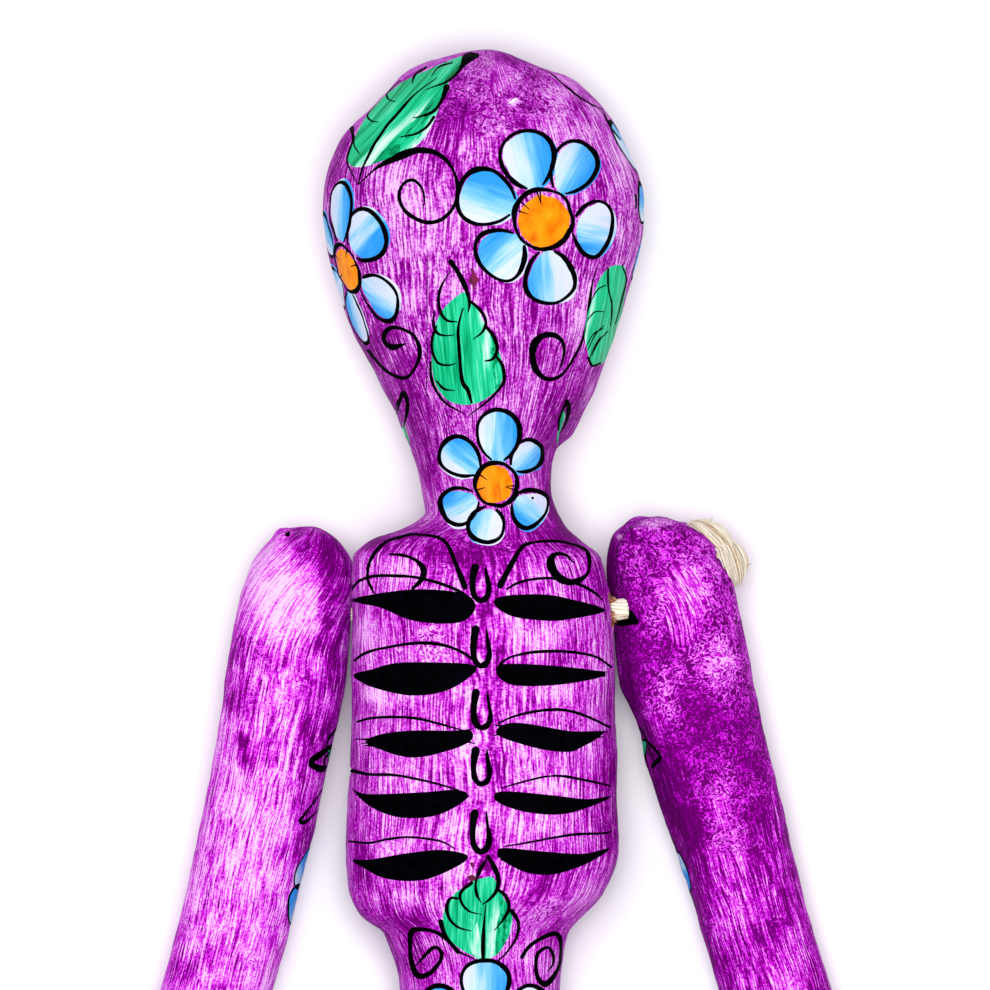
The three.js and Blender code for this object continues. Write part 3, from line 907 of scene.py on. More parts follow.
def leaf_paint():
    """Green with a white band beside the midrib, then a mottled strip and a pale rim."""
    recipe = Recipe("green_leaf_paint", 0.45, 0.05)
    spot = recipe.attribute("spot")
    streaks = recipe.noise(spot, (1.8, 9.5, 7.0), 3.0, 0.62, 0.3)
    fine = recipe.noise(spot, (2.6, 30.0, 7.0), 2.0, 0.6)
    broad = recipe.noise(spot, (2.4, 2.4, 9.0))
    veined = recipe.noise(spot, (7.0, 5.0, 9.0), 2.0, 0.5, 1.2)
    along, across, _ = recipe.axes(spot)
    side = recipe.swayed(across, (broad, 0.6))
    fading = recipe.between(along, 0.5, 0.8, 1.0, 0.12)
    band = recipe.math("MULTIPLY", recipe.between(side, 0.02, 0.2), fading)
    past = recipe.between(side, 0.32, 0.42)
    rim = recipe.between(side, 0.74, 0.95)
    value = recipe.math("MULTIPLY_ADD", band, 0.38, 0.43)
    value = recipe.math("MULTIPLY_ADD", recipe.math("MULTIPLY", past, band), -0.44, value)
    value = recipe.math("MULTIPLY_ADD", rim, 0.5, value)
    value = recipe.swayed(value, (streaks, 0.85), (fine, 0.6))
    dark = recipe.math("MULTIPLY", past, recipe.between(veined, 0.5, 0.62, 0.0, -0.22))
    colour = recipe.ramp(recipe.math("ADD", value, dark), [
        (0.0, (0, 78, 40)), (0.2, (0, 124, 76)), (0.36, (6, 170, 114)), (0.52, (36, 198, 146)),
        (0.7, (120, 218, 186)), (0.94, (216, 236, 228)),
    ])
    return recipe.finish(colour, streaks, 0.0001)


def mottled_paint(name, surface, scale, grit, stops, depth=0.0):
    """A paint of one mottle. The surface is roughness and shine, the grit detail and roughness."""
    recipe = Recipe(name, *surface)
    mottle = recipe.noise(recipe.attribute("grain"), scale, *grit)
    return recipe.finish(recipe.ramp(mottle, stops), mottle if depth else None, depth)


def plain_paint(name, colour):
    return Recipe(name, 0.6, 0.02).finish(srgb(*colour))


def cotton():
    recipe = Recipe("cotton_yarn", 0.95, 0.06)
    fibres = recipe.noise(recipe.attribute("grain"), (2.2, 2.2, 0.12), 3.0, 0.65)
    value = recipe.math("ADD", fibres, recipe.attribute("tone", "Fac"))
    colour = recipe.ramp(value, [(0.2, (180, 138, 100)), (0.38, (238, 218, 186)), (0.55, (255, 250, 236))])
    return recipe.finish(colour, fibres, 0.0003)


# In the order of PAINTS
PAPER_MATERIALS = [
    purple_paint(),
    ink_paint(),
    petal_paint(),
    leaf_paint(),
    mottled_paint(
        "orange_disc_paint", (0.45, 0.05), (0.11, 0.11, 0.05), (3.0, 0.6),
        [(0.32, (206, 96, 0)), (0.46, (234, 128, 2)), (0.7, (244, 152, 16))], 0.0002,
    ),
    mottled_paint(
        "torn_paper_edge", (0.9, 0.1), (0.5, 0.5, 0.5), (4.0, 0.7),
        [(0.34, (70, 22, 20)), (0.47, (150, 84, 58)), (0.62, (226, 176, 140))], 0.0006,
    ),
    mottled_paint(
        "dark_red_stain", (0.5, 0.2), (0.3, 0.3, 0.12), (3.0,),
        [(0.35, (66, 0, 34)), (0.65, (116, 0, 66))],
    ),
    # Painted shade for the creases at the top of the right arm
    plain_paint("painted_crease_shadow", (82, 0, 84)),
    plain_paint("chipped_paper", (236, 224, 240)),
]
COTTON = cotton()


# The paint on the back of the body, as the back view shows it: right of the midline and down.
# A flower has its centre, its disc's radius, and each petal's tip, width and blue; a stroke has widths.

HEAD_FLOWER = (61, 170), 29.5, [
    (-22.4, -86.8, 53, 1.0),
    (43, -74, 44, 1.0),
    (67, 13, 56, 0.6),
    (9, 84, 50, 0.5),
    (-59.3, 50, 53, 1.0),
    (-83.8, -30.4, 55, 1.0),
]
SIDE_FLOWER = (-16, 219), 24, [
    (10, -86, 42, 0.8),
    (64, -48, 50, 1.0),
    (59, 42, 46, 0.8),
    (-24, 74, 38, 0.7),
    (-70, 26, 40, 0.6),
    (-56, -48, 40, 0.6),
]
FAR_FLOWER = (0, 146), 27, [
    (-66, -68, 44, 0.8),
    (-74, 10, 40, 0.8),
    (-40, 80, 42, 0.8),
    (36, 82, 42, 0.8),
    (80, 10, 42, 0.8),
    (30, -80, 42, 0.8),
]
NAPE_FLOWER = (14.3, 434.4), 21.5, [
    (3.1, -73.8, 43, 1.0),
    (-53.2, -40.1, 37, 0.9),
    (-52.8, 30.3, 37, 0.8),
    (-13.7, 57.1, 36, 0.5),
    (45.9, 33.4, 40, 0.8),
    (42.9, -40.1, 30, 0.8),
]
WAIST_FLOWER = (3, 982), 23, [
    (0, -72, 48, 1.0),
    (-63, -36, 40, 0.9),
    (-58, 42, 40, 0.8),
    (0, 70, 44, 0.5),
    (58, 42, 40, 0.8),
    (62, -36, 40, 0.8),
]

CROWN_LEAF = [
    (-16.7, 6.3), (-40.6, 13.9), (-57.9, 22.5), (-75.3, 31.2), (-92.6, 42), (-105.6, 52.9),
    (-115.4, 65.9), (-123, 81), (-129.5, 94), (-133.8, 107), (-129.5, 117), (-118.6, 118.4),
    (-105.6, 114.7), (-88.3, 108.2), (-75.3, 103.2), (-64.4, 96.3), (-53.6, 83.2), (-43.8, 61.6),
    (-36.2, 38.8), (-23.2, 22.5),
]
CROWN_LEAF_STROKES = [
    [(-4.8, 6.3, 5), (-14.5, 8.4, 9), (-21, 18.2, 3.5), (-31.9, 31.2, 3), (-55.7, 41.6, 1)],
    [(-35.1, 38.8, 7), (-39.5, 50.7, 4), (-47.1, 61.6, 3), (-57.9, 67, 2.4), (-68.8, 69.2, 1)],
    [(-48.2, 68.1, 3), (-55.7, 78.9, 3.4), (-66.6, 85.4, 2.4), (-81.8, 88.7, 1)],
    [(-123, 135.7, 1.2), (-117.5, 118, 2.2), (-104.5, 90.8, 3), (-86.1, 65.9, 3), (-62.2, 42, 1.6),
     (-44.9, 29, 1)],
    [(-29.7, 12.8, 2), (-42.7, 17.1, 2.4), (-50.3, 26.9, 1)],
    [(-55.7, 18.2, 2), (-66.6, 25.8, 2.4), (-69.8, 34.5, 1)],
    [(-81.8, 31.2, 2), (-94.8, 42, 2.4), (-93.7, 49.6, 2), (-86.1, 52.9, 1)],
    [(-107.8, 55, 2), (-114.7, 64.8, 2.4), (-111, 71.3, 2), (-103.5, 73, 1)],
    [(-127.3, 85.4, 1.4), (-127.3, 96.3, 2), (-121.9, 104.9, 1)],
    [(-130.6, 78, 5), (-128.6, 89.8, 3), (-134.2, 111.4, 2), (-123, 135.7, 1)],
]
BIG_SCROLL = [
    (-121.9, 134.9, 1.2), (-105.6, 120.1, 2.6), (-88.3, 110.4, 7.5), (-64.4, 101.7, 7),
    (-44.9, 104.9, 4.6), (-30.8, 117.9, 4), (-24.3, 137.5, 4.4), (-27.6, 157, 4),
    (-40.6, 171.1, 4.4), (-57.9, 173.2, 4), (-75.3, 163.5, 4.4), (-82.8, 148.3, 4),
    (-78.5, 135.3, 3.4), (-68.8, 131.4, 3.4), (-60.1, 139.6, 2.6), (-57.5, 150.5, 2), (-59, 160.2, 0.8),
]
CENTRE_LEAF = [
    (-18, 243), (-31, 252), (-40, 262), (-46, 275), (-50, 292), (-50, 310), (-49, 325), (-46, 335),
    (-41, 343), (-33, 351), (-19, 355), (-4, 353), (11, 344), (19, 333), (21, 318), (18, 305),
    (14, 295), (7, 284), (3, 275), (-2, 264), (-8, 256), (-13, 250),
]
CENTRE_LEAF_STROKES = [
    [(-30.8, 213.4, 6), (-21, 228.5, 5.4), (-14.5, 243.7, 4.6), (-12.4, 253.5, 3), (-13.5, 263.2, 1)],
    [(-31.5, 222.5, 1), (-40.6, 237.2, 2.6), (-43.2, 250.2, 3), (-40.6, 263.2, 3), (-34.1, 270.8, 2.4),
     (-24.3, 272.3, 1)],
    [(-12.4, 251.3, 3), (-1.5, 261.1, 3.4), (3.9, 271.9, 3.4), (0.6, 282.7, 3), (-9.1, 290.3, 1)],
    [(4.5, 278.4, 3.4), (11.5, 287.1, 3.6), (15.4, 300.1, 3.4), (10.4, 309.9, 2.6), (2.8, 312, 1.4)],
    [(13.6, 306.6, 2), (20.2, 315.3, 3.6), (22.3, 330, 3.8), (18.9, 337, 3.4), (11.3, 346.3, 3),
     (2.1, 354.5, 2.4), (-13.2, 366, 1)],
    [(-47, 261, 1.6), (-48, 274, 2.6), (-44, 283, 2.6), (-36, 286, 2), (-27.6, 285.4, 1)],
    [(-44.9, 276.2, 2), (-49.2, 289.3, 3.2), (-49.2, 302.3, 3), (-43.8, 313.1, 2.6),
     (-34.1, 315.9, 2.2), (-26.5, 314.2, 1)],
    [(-51.4, 312.3, 2.6), (-50.5, 330, 3.4), (-43, 345, 3), (-34.7, 354.5, 2.4), (-17, 364.4, 1)],
    [(-45.4, 331, 1.6), (-37.7, 339, 2.4), (-27, 340.7, 1)],
    [(-18.9, 258.9, 1.4), (-23.2, 276.2, 3), (-23.2, 293.6, 3.2), (-20, 330, 4), (-14, 340.7, 4),
     (-10.2, 353, 2)],
]
LEFT_SCROLL = [
    (-114.3, 300.1, 2.4), (-103.5, 315.3, 3.4), (-90.4, 325, 3.4), (-76.3, 328.3, 4), (-66.6, 317.4, 4.6),
    (-61.8, 302.3, 4.6), (-66.6, 287.1, 4), (-77.4, 279.5, 3.6), (-90.4, 278.4, 4.6), (-98, 284.9, 5.4),
    (-96.9, 293.6, 5), (-88.3, 297.9, 6), (-75.3, 293.6, 1),
]
RIGHT_SCROLL = [
    (114.5, 217.7, 1), (110.1, 237.2, 2), (106.9, 256.7, 4), (104.7, 276.2, 3.6), (98.2, 295.8, 2.4),
    (87.4, 315.3, 2.8), (76.5, 327.2, 3.2), (64.6, 329.4, 4.4), (54.9, 321.8, 7), (50.5, 308.8, 8.6),
    (51.6, 295.8, 8.6), (59.2, 287.1, 6.4), (70, 284.9, 5.4), (78.7, 290.3, 4.4), (82, 300.1, 3.4),
    (79.8, 313.1, 2.4), (77.6, 319.6, 1),
]
EDGE_LEAF = [
    (128.6, 217.7), (141.6, 216.6), (145, 228.5), (142.4, 250.2), (137, 274.1), (130, 293.6),
    (120, 313), (109.1, 315.3), (105.8, 302.3), (102.6, 287.1), (103.6, 269.7), (110.1, 250.2),
    (117.7, 230.7),
]
EDGE_LEAF_STROKES = [
    [(126.4, 219.9, 2.4), (126.4, 239.4, 1.8), (129.7, 256.7, 2.2), (128.6, 276.2, 1)],
    [(109.5, 250, 1), (116, 240, 1.4), (124, 236, 1)],
    [(104, 272, 1), (112, 262, 1.4), (121, 262, 1)],
    [(106, 300, 1), (114, 284, 1.4), (122, 276, 1)],
    [(110, 306, 1), (117, 292, 1.4), (126, 282, 1)],
    [(104.5, 296, 1), (112, 284, 1.6), (121, 279, 1)],
    [(107, 309, 1), (114, 295, 1.6), (119, 287, 1)],
    [(105.8, 308, 2.6), (110, 316, 3.4), (118, 313, 2)],
    [(140, 216, 1.4), (144.4, 229, 2), (140, 251, 1.6), (134, 274, 1)],
]
NECK_DROPS = [
    [(-84, 360, 2), (-79, 343, 4.6), (-74.5, 353, 4), (-75.2, 365.2, 3.4), (-79, 376.7, 1)],
    [(-79, 343, 3), (-85.2, 355, 1.6), (-85.9, 366, 1)],
    [(84, 350.7, 3.6), (86.5, 357.6, 4.4), (84, 371.3, 3), (77.8, 383.6, 1)],
    [(84, 350.7, 3), (80.1, 360.6, 2.4), (77.1, 371.3, 2.4), (76.3, 380.5, 1.4)],
]
NECK_SLIVERS = [
    [(-80, 372), (-78, 376), (-73, 392), (-71, 400), (-74, 397), (-78.4, 384)],
    [(82, 361), (83, 366), (79.6, 376), (76, 392), (75, 396), (76, 380), (78.5, 368)],
]

SHOULDER_SWIRLS = [
    [(-17.1, 536.6, 6), (-25.5, 515.2, 4.6), (-33.1, 496.8, 4), (-40.8, 488.4, 3.4), (-51.5, 485.4, 3),
     (-65.3, 483.8, 3), (-82.1, 486.9, 3.4), (-96, 491.5, 3.6), (-107.6, 504.7, 4), (-113.4, 518, 3.6),
     (-113.4, 529.6, 3), (-110.1, 537.9, 2.4), (-106.8, 544.5, 1)],
    [(-92.7, 503.9, 2), (-80, 504.8, 3.2), (-69, 508.5, 4), (-61.5, 514, 5.6), (-58, 520.5, 7),
     (-59.5, 528, 6.4), (-64.5, 534, 5), (-69.1, 538.2, 3.4)],
    [(18.2, 535.1, 6.4), (29.6, 513.7, 5.6), (38.8, 498.4, 4.4), (48, 493, 3.4), (69.4, 490.7, 3),
     (89.3, 493.8, 2.8), (103.1, 499.1, 3), (106.9, 506, 4.6), (106.9, 519.8, 3.6), (101.6, 527.5, 4.4),
     (89.3, 532, 7), (77.1, 527.5, 9), (69.4, 516.7, 8.6), (69.4, 507.6, 6.4), (75.5, 503.7, 4.4),
     (84.7, 505.3, 3.6), (92.4, 513.7, 1)],
]

# Ribs: a dark hollow on each side, with a thin line over it
RIB_HOLLOWS = [
    [(-130, 550), (-95, 542), (-60, 539), (-20, 543), (-6, 556), (-22, 572), (-66, 571), (-100, 558)],
    [(12, 554), (20, 546), (58, 544), (85, 548), (123, 560), (88, 569), (64, 570.5), (30, 566)],
    [(-128, 625), (-110, 619), (-85, 612.5), (-45, 612), (-10, 614), (-7, 622), (-35, 640), (-72, 645),
     (-112, 636)],
    [(14, 620), (22, 613.5), (68, 615), (118, 621), (119, 627), (80, 634), (38, 635.5), (20, 630)],
    [(-116, 690), (-98, 683), (-70, 680), (-30, 680), (-12, 679.5), (-10, 689), (-30, 699), (-70, 707),
     (-108, 697)],
    [(14, 680), (24, 673), (45, 673), (88, 680.5), (122, 682), (98, 698), (84, 701.5), (56, 698), (20, 687)],
    [(-131, 738), (-115, 743.5), (-60, 741.5), (-30, 739), (-15, 742), (-17, 750), (-45, 764.5),
     (-80, 767), (-110, 757)],
    [(12, 744), (25, 740.5), (70, 744.5), (105, 748.5), (130, 746), (112, 755), (80, 763.5),
     (45, 761.5), (18, 753)],
    [(-131, 810), (-112, 809), (-75, 802.5), (-42, 799), (-15, 804), (-22, 814), (-58, 829), (-95, 828),
     (-118, 818)],
    [(15, 801), (22, 797), (60, 800.5), (100, 803), (127, 798), (105, 812.5), (72, 823.5), (45, 822),
     (19, 809)],
]
DRY_TIPS = [
    [(116, 622, 3), (124.5, 621.9, 1)],
    [(116, 626, 3), (123.5, 625.8, 0.8)],
    [(-108, 689, 3), (-127.1, 688.9, 1.2)],
    [(-112, 692, 2), (-121, 693.5, 0.8)],
    [(-108, 695, 3), (-118, 695.5, 0.8)],
    [(118, 682, 3), (127, 681.5, 1)],
    [(116, 687, 2), (123, 686.5, 0.8)],
    [(-20, 681, 3), (-9, 678, 1)],
    [(-18, 690, 3), (-7, 693, 1)],
    [(20, 676, 3), (12.5, 674, 1)],
    [(20, 682, 3), (12.5, 685, 1)],
]
RIB_LINES = [
    [(-130.5, 540.4, 2), (-122.5, 531.3, 3), (-109.3, 526.3, 3.6), (-91, 525.5, 3.6), (-66.2, 527.1, 3.2),
     (-40.8, 533.6, 3), (-22.4, 541.2, 3.6), (-10.2, 548.9, 2)],
    [(25, 538.9, 2), (35.8, 532.8, 2.6), (51.1, 529, 2.8), (71, 528.2, 3), (95.4, 533.6, 3.4),
     (112.3, 542, 3), (120.5, 549.5, 1.6)],
    [(-126.6, 610.4, 2), (-113.7, 601.8, 2.8), (-94.6, 597.1, 3), (-71.6, 593.2, 3.4), (-52.5, 592.8, 3.4),
     (-33.4, 596.1, 3.2), (-18.1, 602.8, 3), (-8.5, 609.5, 2.6)],
    [(18, 614, 3), (24, 609, 2.6), (31.7, 605.7, 2.6), (50.8, 601.8, 2.8), (77.6, 600.9, 3),
     (100.6, 603.2, 3), (115.9, 607.6, 2.6), (128.3, 617.1, 2.2)],
    [(-125.2, 671.7, 2), (-109.9, 667.8, 2.8), (-88.9, 666.5, 3), (-65.9, 667.8, 2.8), (-44.9, 672.6, 2.4),
     (-18.1, 679.9, 1.6)],
    [(16.4, 672.6, 2), (31.7, 665.9, 2.6), (54.6, 660.6, 3), (77.6, 659.2, 3), (96.7, 663.1, 3),
     (115.9, 670.7, 2.8), (129.3, 677.4, 1.8)],
    [(-130, 720.5, 4.4), (-113.7, 723.9, 3), (-88.9, 724.3, 2.8), (-65.9, 728.1, 2.4), (-44.9, 732.9, 2.2),
     (-23.8, 739.2, 1.6)],
    [(20.2, 737.1, 1.6), (39.3, 731.6, 2.2), (62.3, 726.2, 2.4), (81.4, 725.6, 2.6), (104.4, 730, 2.6),
     (129.3, 735.8, 1.8)],
    [(-133.8, 791.1, 2), (-113.7, 792.5, 2.4), (-94.6, 788.6, 2.4), (-75.5, 786.4, 2.4), (-56.3, 787.7, 2.2),
     (-39.1, 791.1, 2), (-27.6, 797.5, 1.4)],
    [(23.1, 795.5, 1.4), (48.9, 791.1, 2.4), (73.8, 786.4, 2.6), (96.7, 783.5, 2.6), (121.6, 782.9, 2.4),
     (128.9, 781.2, 1.6)],
]
# Spine bones: a looped stroke in each box of left, top, right and bottom
SPINE_BONES = [
    (-12, 515, 9.5, 553),
    (-11, 577, 9.7, 618.5),
    (-11, 640, 11, 680),
    (-11, 698, 10, 736),
    (-12, 760, 9.7, 804),
]
BONE_PEN = 6.2
BONE_STROKE = [
    (0.24, 0.06, 1.35), (0.16, 0.3, 1.2), (0.13, 0.55, 1.05), (0.22, 0.8, 1.05), (0.5, 0.93, 1.0),
    (0.78, 0.82, 1.1), (0.87, 0.6, 1.0), (0.8, 0.36, 0.75), (0.74, 0.16, 0.5), (0.73, 0.02, 0.2),
]

WAIST_LEAF = [
    (-2.8, 828.4), (10.6, 826.5), (16.4, 838), (23.1, 849.5), (29.8, 862.9), (28.8, 880.1), (23.1, 893.5),
    (14.5, 905), (1.1, 909.8), (-10.4, 905), (-25.7, 895.4), (-35.3, 883.9), (-39.1, 868.6), (-33.4, 849.5),
    (-18.1, 836.1),
]
WAIST_PALE_DAB = [(-1, 907), (-9, 904), (-14, 892), (-16, 880), (-11, 868), (-8, 877), (-5, 872), (-2, 886)]
WAIST_STROKES = [
    [(5.8, 804.5, 2), (-0.9, 817, 3), (-5.6, 832.3, 3), (-4.7, 845.7, 2.4), (-0.9, 852.4, 1)],
    [(5.8, 804.5, 3), (12.5, 817, 5), (16.4, 828.4, 5.4), (14.5, 839.9, 4), (6.8, 849.5, 2.6),
     (0.1, 854.3, 1)],
    [(3.9, 854.3, 1), (2, 874.4, 2.4), (1.1, 893.5, 4.6), (1.1, 909.8, 3)],
    [(-10.4, 832.3, 4), (-20, 839.9, 3.6), (-21.9, 847.6, 3.2), (-18.1, 856.2, 2.8), (-10.4, 861.9, 2),
     (0.1, 864.2, 0.8)],
    [(-24.8, 848, 2.4), (-31.5, 847.6, 3), (-35.3, 857.1, 3.6), (-32.4, 868.6, 3.4),
     (-23.8, 877.2, 2.6), (-10.4, 880.7, 0.8)],
    [(-41.4, 871.5, 5), (-37.2, 883.9, 4.4), (-25.7, 899.2, 3), (-6.6, 909.2, 1.4)],
    [(16.4, 839, 3), (24, 845.7, 4), (26.9, 857.1, 4), (21.2, 868.6, 3), (12.5, 880.1, 1)],
    [(29.8, 860, 4), (36.5, 872.5, 3.4), (34.5, 887.8, 3), (25.9, 901.2, 2.4), (16.4, 910.7, 1.4)],
    [(-24.2, 901.2, 5), (-35.3, 888.7, 4.6), (-46.8, 881.6, 3.8), (-62.1, 879.1, 4), (-70.7, 882, 6),
     (-71.5, 897.3, 4.6), (-69.8, 914.5, 5), (-64, 926, 6), (-52.5, 923.2, 4.6), (-42.9, 912.6, 4.4),
     (-40.1, 903.1, 4.4), (-45.5, 897.3, 4.4), (-51, 899, 5), (-60.2, 908.8, 3), (-65.9, 915.5, 1)],
    [(40.3, 906.9, 4.6), (47, 897.3, 4.4), (60.4, 887.8, 4.2), (75.7, 884.5, 4.4), (78.5, 903.1, 3),
     (75.7, 920.3, 4), (64.2, 934, 6), (55.6, 927.9, 4), (53.7, 914.5, 3.4), (56.5, 903.1, 3.4),
     (66.1, 897.3, 3), (70.9, 905, 3.6), (70.9, 914.5, 3), (65.2, 921.2, 1)],
]
# A thin dark line down the head, left of the middle
HEAD_DARK_LINE = [(-54, 205, 0.6), (-54.6, 240, 1), (-54, 280, 0.8), (-55, 320, 1), (-56, 350, 0.6)]
INK_SPECK = (50.7, 448)
CROWN_CHIPS = [
    [(26, 54.5), (29, 52.6), (31, 50.4), (34.5, 49.6), (35.5, 51), (32.6, 53), (29.6, 55)],
    [(16.4, 44), (17.6, 46.4), (16.6, 48)],
]
RED_SPOTS = [
    [(-12, 219), (-8, 222), (-5, 228), (-2, 231), (-6, 235), (-8, 243), (-10, 236), (-14, 232), (-10, 226)],
    [(-15, 826), (-9, 824), (-5, 828), (-10, 831)],
    [(-12, 812), (-8, 812), (-9, 818)],
]
SIDE_FLOWER_VIEW, FAR_FLOWER_VIEW, SIDE_LEAF_VIEW, SIDE_SCROLL_VIEW = 152, -12, 196, -24
CROWN_EDGE_LINES = [
    [(60.3, 16, 1.2), (72.2, 26.9, 1.8), (89.5, 42, 2), (104.7, 52.9, 1.6), (121, 60.5, 1.4)],
    [(119, 58, 1.4), (126, 74, 2), (138, 90, 1.4)],
    [(153, 146, 3), (153.6, 158, 2.4)],
]


def paint_back(canvas):
    canvas.blob(BACK, CROWN_LEAF, "leaf", base=(-123, 113), tip=(-36, 12), half_width=34, blue=1)
    canvas.strokes(BACK, [*CROWN_LEAF_STROKES, BIG_SCROLL])
    flower(canvas, BACK, *HEAD_FLOWER, (3.2, 1.4), (1, 2.4))
    canvas.blob(BACK, CENTRE_LEAF, "leaf", base=(-22, 250), tip=(-12, 355), half_width=34, blue=-0.5)
    canvas.strokes(BACK, [*CENTRE_LEAF_STROKES, LEFT_SCROLL, RIGHT_SCROLL])
    canvas.blob(BACK, EDGE_LEAF, "leaf", base=(113, 316), tip=(134, 216), half_width=20, blue=-0.4)
    canvas.strokes(BACK, EDGE_LEAF_STROKES)
    for sliver in NECK_SLIVERS:
        canvas.blob(BACK, sliver, "leaf", base=sliver[0], tip=sliver[3], half_width=5, blue=1.6)
    canvas.strokes(BACK, NECK_DROPS + CROWN_EDGE_LINES)
    flower(canvas, BACK, *NAPE_FLOWER, (0.4, 3), (-2, 0))
    canvas.strokes(BACK, SHOULDER_SWIRLS + RIB_LINES + DRY_TIPS)
    for outline in RIB_HOLLOWS:
        canvas.blob(BACK, outline)
    for left, top, right, bottom in SPINE_BONES:
        width, height = right - left, bottom - top
        canvas.stroke(BACK, [(left + width * x, top + height * y, BONE_PEN * w) for x, y, w in BONE_STROKE])
    canvas.blob(BACK, WAIST_LEAF, "leaf", base=(1, 910), tip=(6, 826), half_width=32, blue=1)
    canvas.blob(BACK, WAIST_PALE_DAB, "leaf", base=(1, 910), tip=(-4, 810), half_width=90, blue=1.3)
    canvas.strokes(BACK, WAIST_STROKES)
    flower(canvas, BACK, *WAIST_FLOWER)
    canvas.stroke(BACK, HEAD_DARK_LINE)
    for chip in CROWN_CHIPS:
        canvas.blob(BACK, chip, "chip")
    canvas.blob(BACK, ring_of(INK_SPECK, 1.4, 8))
    for spot in RED_SPOTS:
        canvas.blob(BACK, spot, "red_stain")


def paint_sides(canvas):
    flower(canvas, SIDE_FLOWER_VIEW, *SIDE_FLOWER, (4, -2.4), (1.5, 1))
    flower(canvas, FAR_FLOWER_VIEW, *FAR_FLOWER)
    leaf(canvas, SIDE_LEAF_VIEW, (10, 340), (-26, 272), 36)
    leaf(canvas, LEFT_SIDE, (-66, 398), (-6, 386), 28)
    scroll(canvas, SIDE_SCROLL_VIEW, (0, 290), 26, 90, -1)
    canvas.blob(RIGHT_SIDE, TORN_RIM, "torn_paper")
    # Black painted as the shade in the hole that the cord comes out of
    canvas.blob(RIGHT_SIDE, ring_of((12, 560), 10.5))


def ring_of(centre, radius, count=14):
    turns = [2 * math.pi * i / count for i in range(count)]
    return [(centre[0] + radius * math.cos(a), centre[1] + radius * math.sin(a)) for a in turns]


TORN_RIM = [
    (-8, 547), (-3, 542), (3, 546), (9, 541), (16, 544), (20, 541), (24, 549), (21, 554), (25, 561),
    (20, 568), (22, 574), (14, 577), (8, 573), (2, 578), (-6, 575), (-4, 569), (-10, 563), (-6, 556),
]
FRONT_NARROWER = 0.92
EYE, EYE_RADIUS, CHEEK = (60, 212), 33, (86, 306)
NOSE = [(4, 262), (9, 268), (16, 290), (13, 302), (6, 302), (3, 290)]
MOUTH_DOWN, MOUTH_HALF, TOOTH_GAP = 346, 60, 15
MOUTH = [(-66, 342, 2), (-30, 346, 4), (30, 346, 4), (66, 342, 2)]
FRONT_HIP = [(22, 1050), (70, 1040), (84, 1075), (50, 1098), (20, 1080)]
BACK_HIP = [(22, 1082), (52, 1066), (84, 1072), (88, 1094), (60, 1112), (30, 1106)]
BACK_HIP_LINE = [(16, 1070, 2), (50, 1052, 3.4), (94, 1062, 2)]
TAILBONE = [(-4, 1060, 5), (-7, 1078, 6), (-1, 1096, 6), (6, 1084, 5), (4, 1062, 2)]


def paint_face(canvas):
    """A skull's face in the manner of the back: sockets with petals, a nose and teeth."""
    middle = -FACE_SHIFT
    flower(canvas, FRONT, (middle, 112), 20, round_petals(6, 62, 38, 30))
    for way in (-1, 1):
        eye = np.array([middle + way * EYE[0], EYE[1]], float)
        for x, y, _, _ in round_petals(8, 50, 0):
            tip = eye + (x, y)
            outline = egg(eye + (0.6 * x, 0.6 * y), tip, 26)
            canvas.blob(FRONT, outline, "petal", base=eye, tip=tip, half_width=13)
            canvas.stroke(FRONT, outline, 2.6)
        canvas.blob(FRONT, ring_of(eye, EYE_RADIUS))
        canvas.blob(FRONT, [(middle + way * x, y) for x, y in NOSE])
        scroll(canvas, FRONT, (middle + way * CHEEK[0], CHEEK[1]), 18, 90, way)
    for x in range(-MOUTH_HALF, MOUTH_HALF + 1, TOOTH_GAP):
        height = 17 - abs(x) * 0.1
        tooth = [(x, MOUTH_DOWN - height), (x * 1.02, MOUTH_DOWN), (x, MOUTH_DOWN + height)]
        canvas.stroke(FRONT, [(middle + right, down) for right, down in tooth], 3)
    canvas.stroke(FRONT, [(middle + x, y, w) for x, y, w in MOUTH])


def paint_front(canvas):
    paint_face(canvas)
    for outline in RIB_HOLLOWS:
        canvas.blob(FRONT, mirrored(FRONT_NARROWER, outline))
    canvas.strokes(FRONT, [mirrored(FRONT_NARROWER, line) for line in RIB_LINES])
    for way in (-1, 1):
        canvas.stroke(FRONT, mirrored(way, [(6, 520, 3), (8, 660, 4), (3, 800, 3)]))
    flower(canvas, FRONT, (0, 905), 20, round_petals(6, 58, 38, 30))
    leaf(canvas, FRONT, (-14, 1010), (-44, 960), 34)
    leaf(canvas, FRONT, (14, 1010), (44, 960), 34)
    for way in (-1, 1):
        canvas.blob(FRONT, mirrored(way, FRONT_HIP))


def paint_pelvis(canvas):
    for way in (-1, 1):
        canvas.blob(BACK, mirrored(way, BACK_HIP))
        canvas.stroke(BACK, mirrored(way, BACK_HIP_LINE))
    canvas.stroke(BACK, TAILBONE)


def paint_body(canvas):
    paint_sides(canvas)
    paint_front(canvas)
    paint_pelvis(canvas)
    paint_back(canvas)


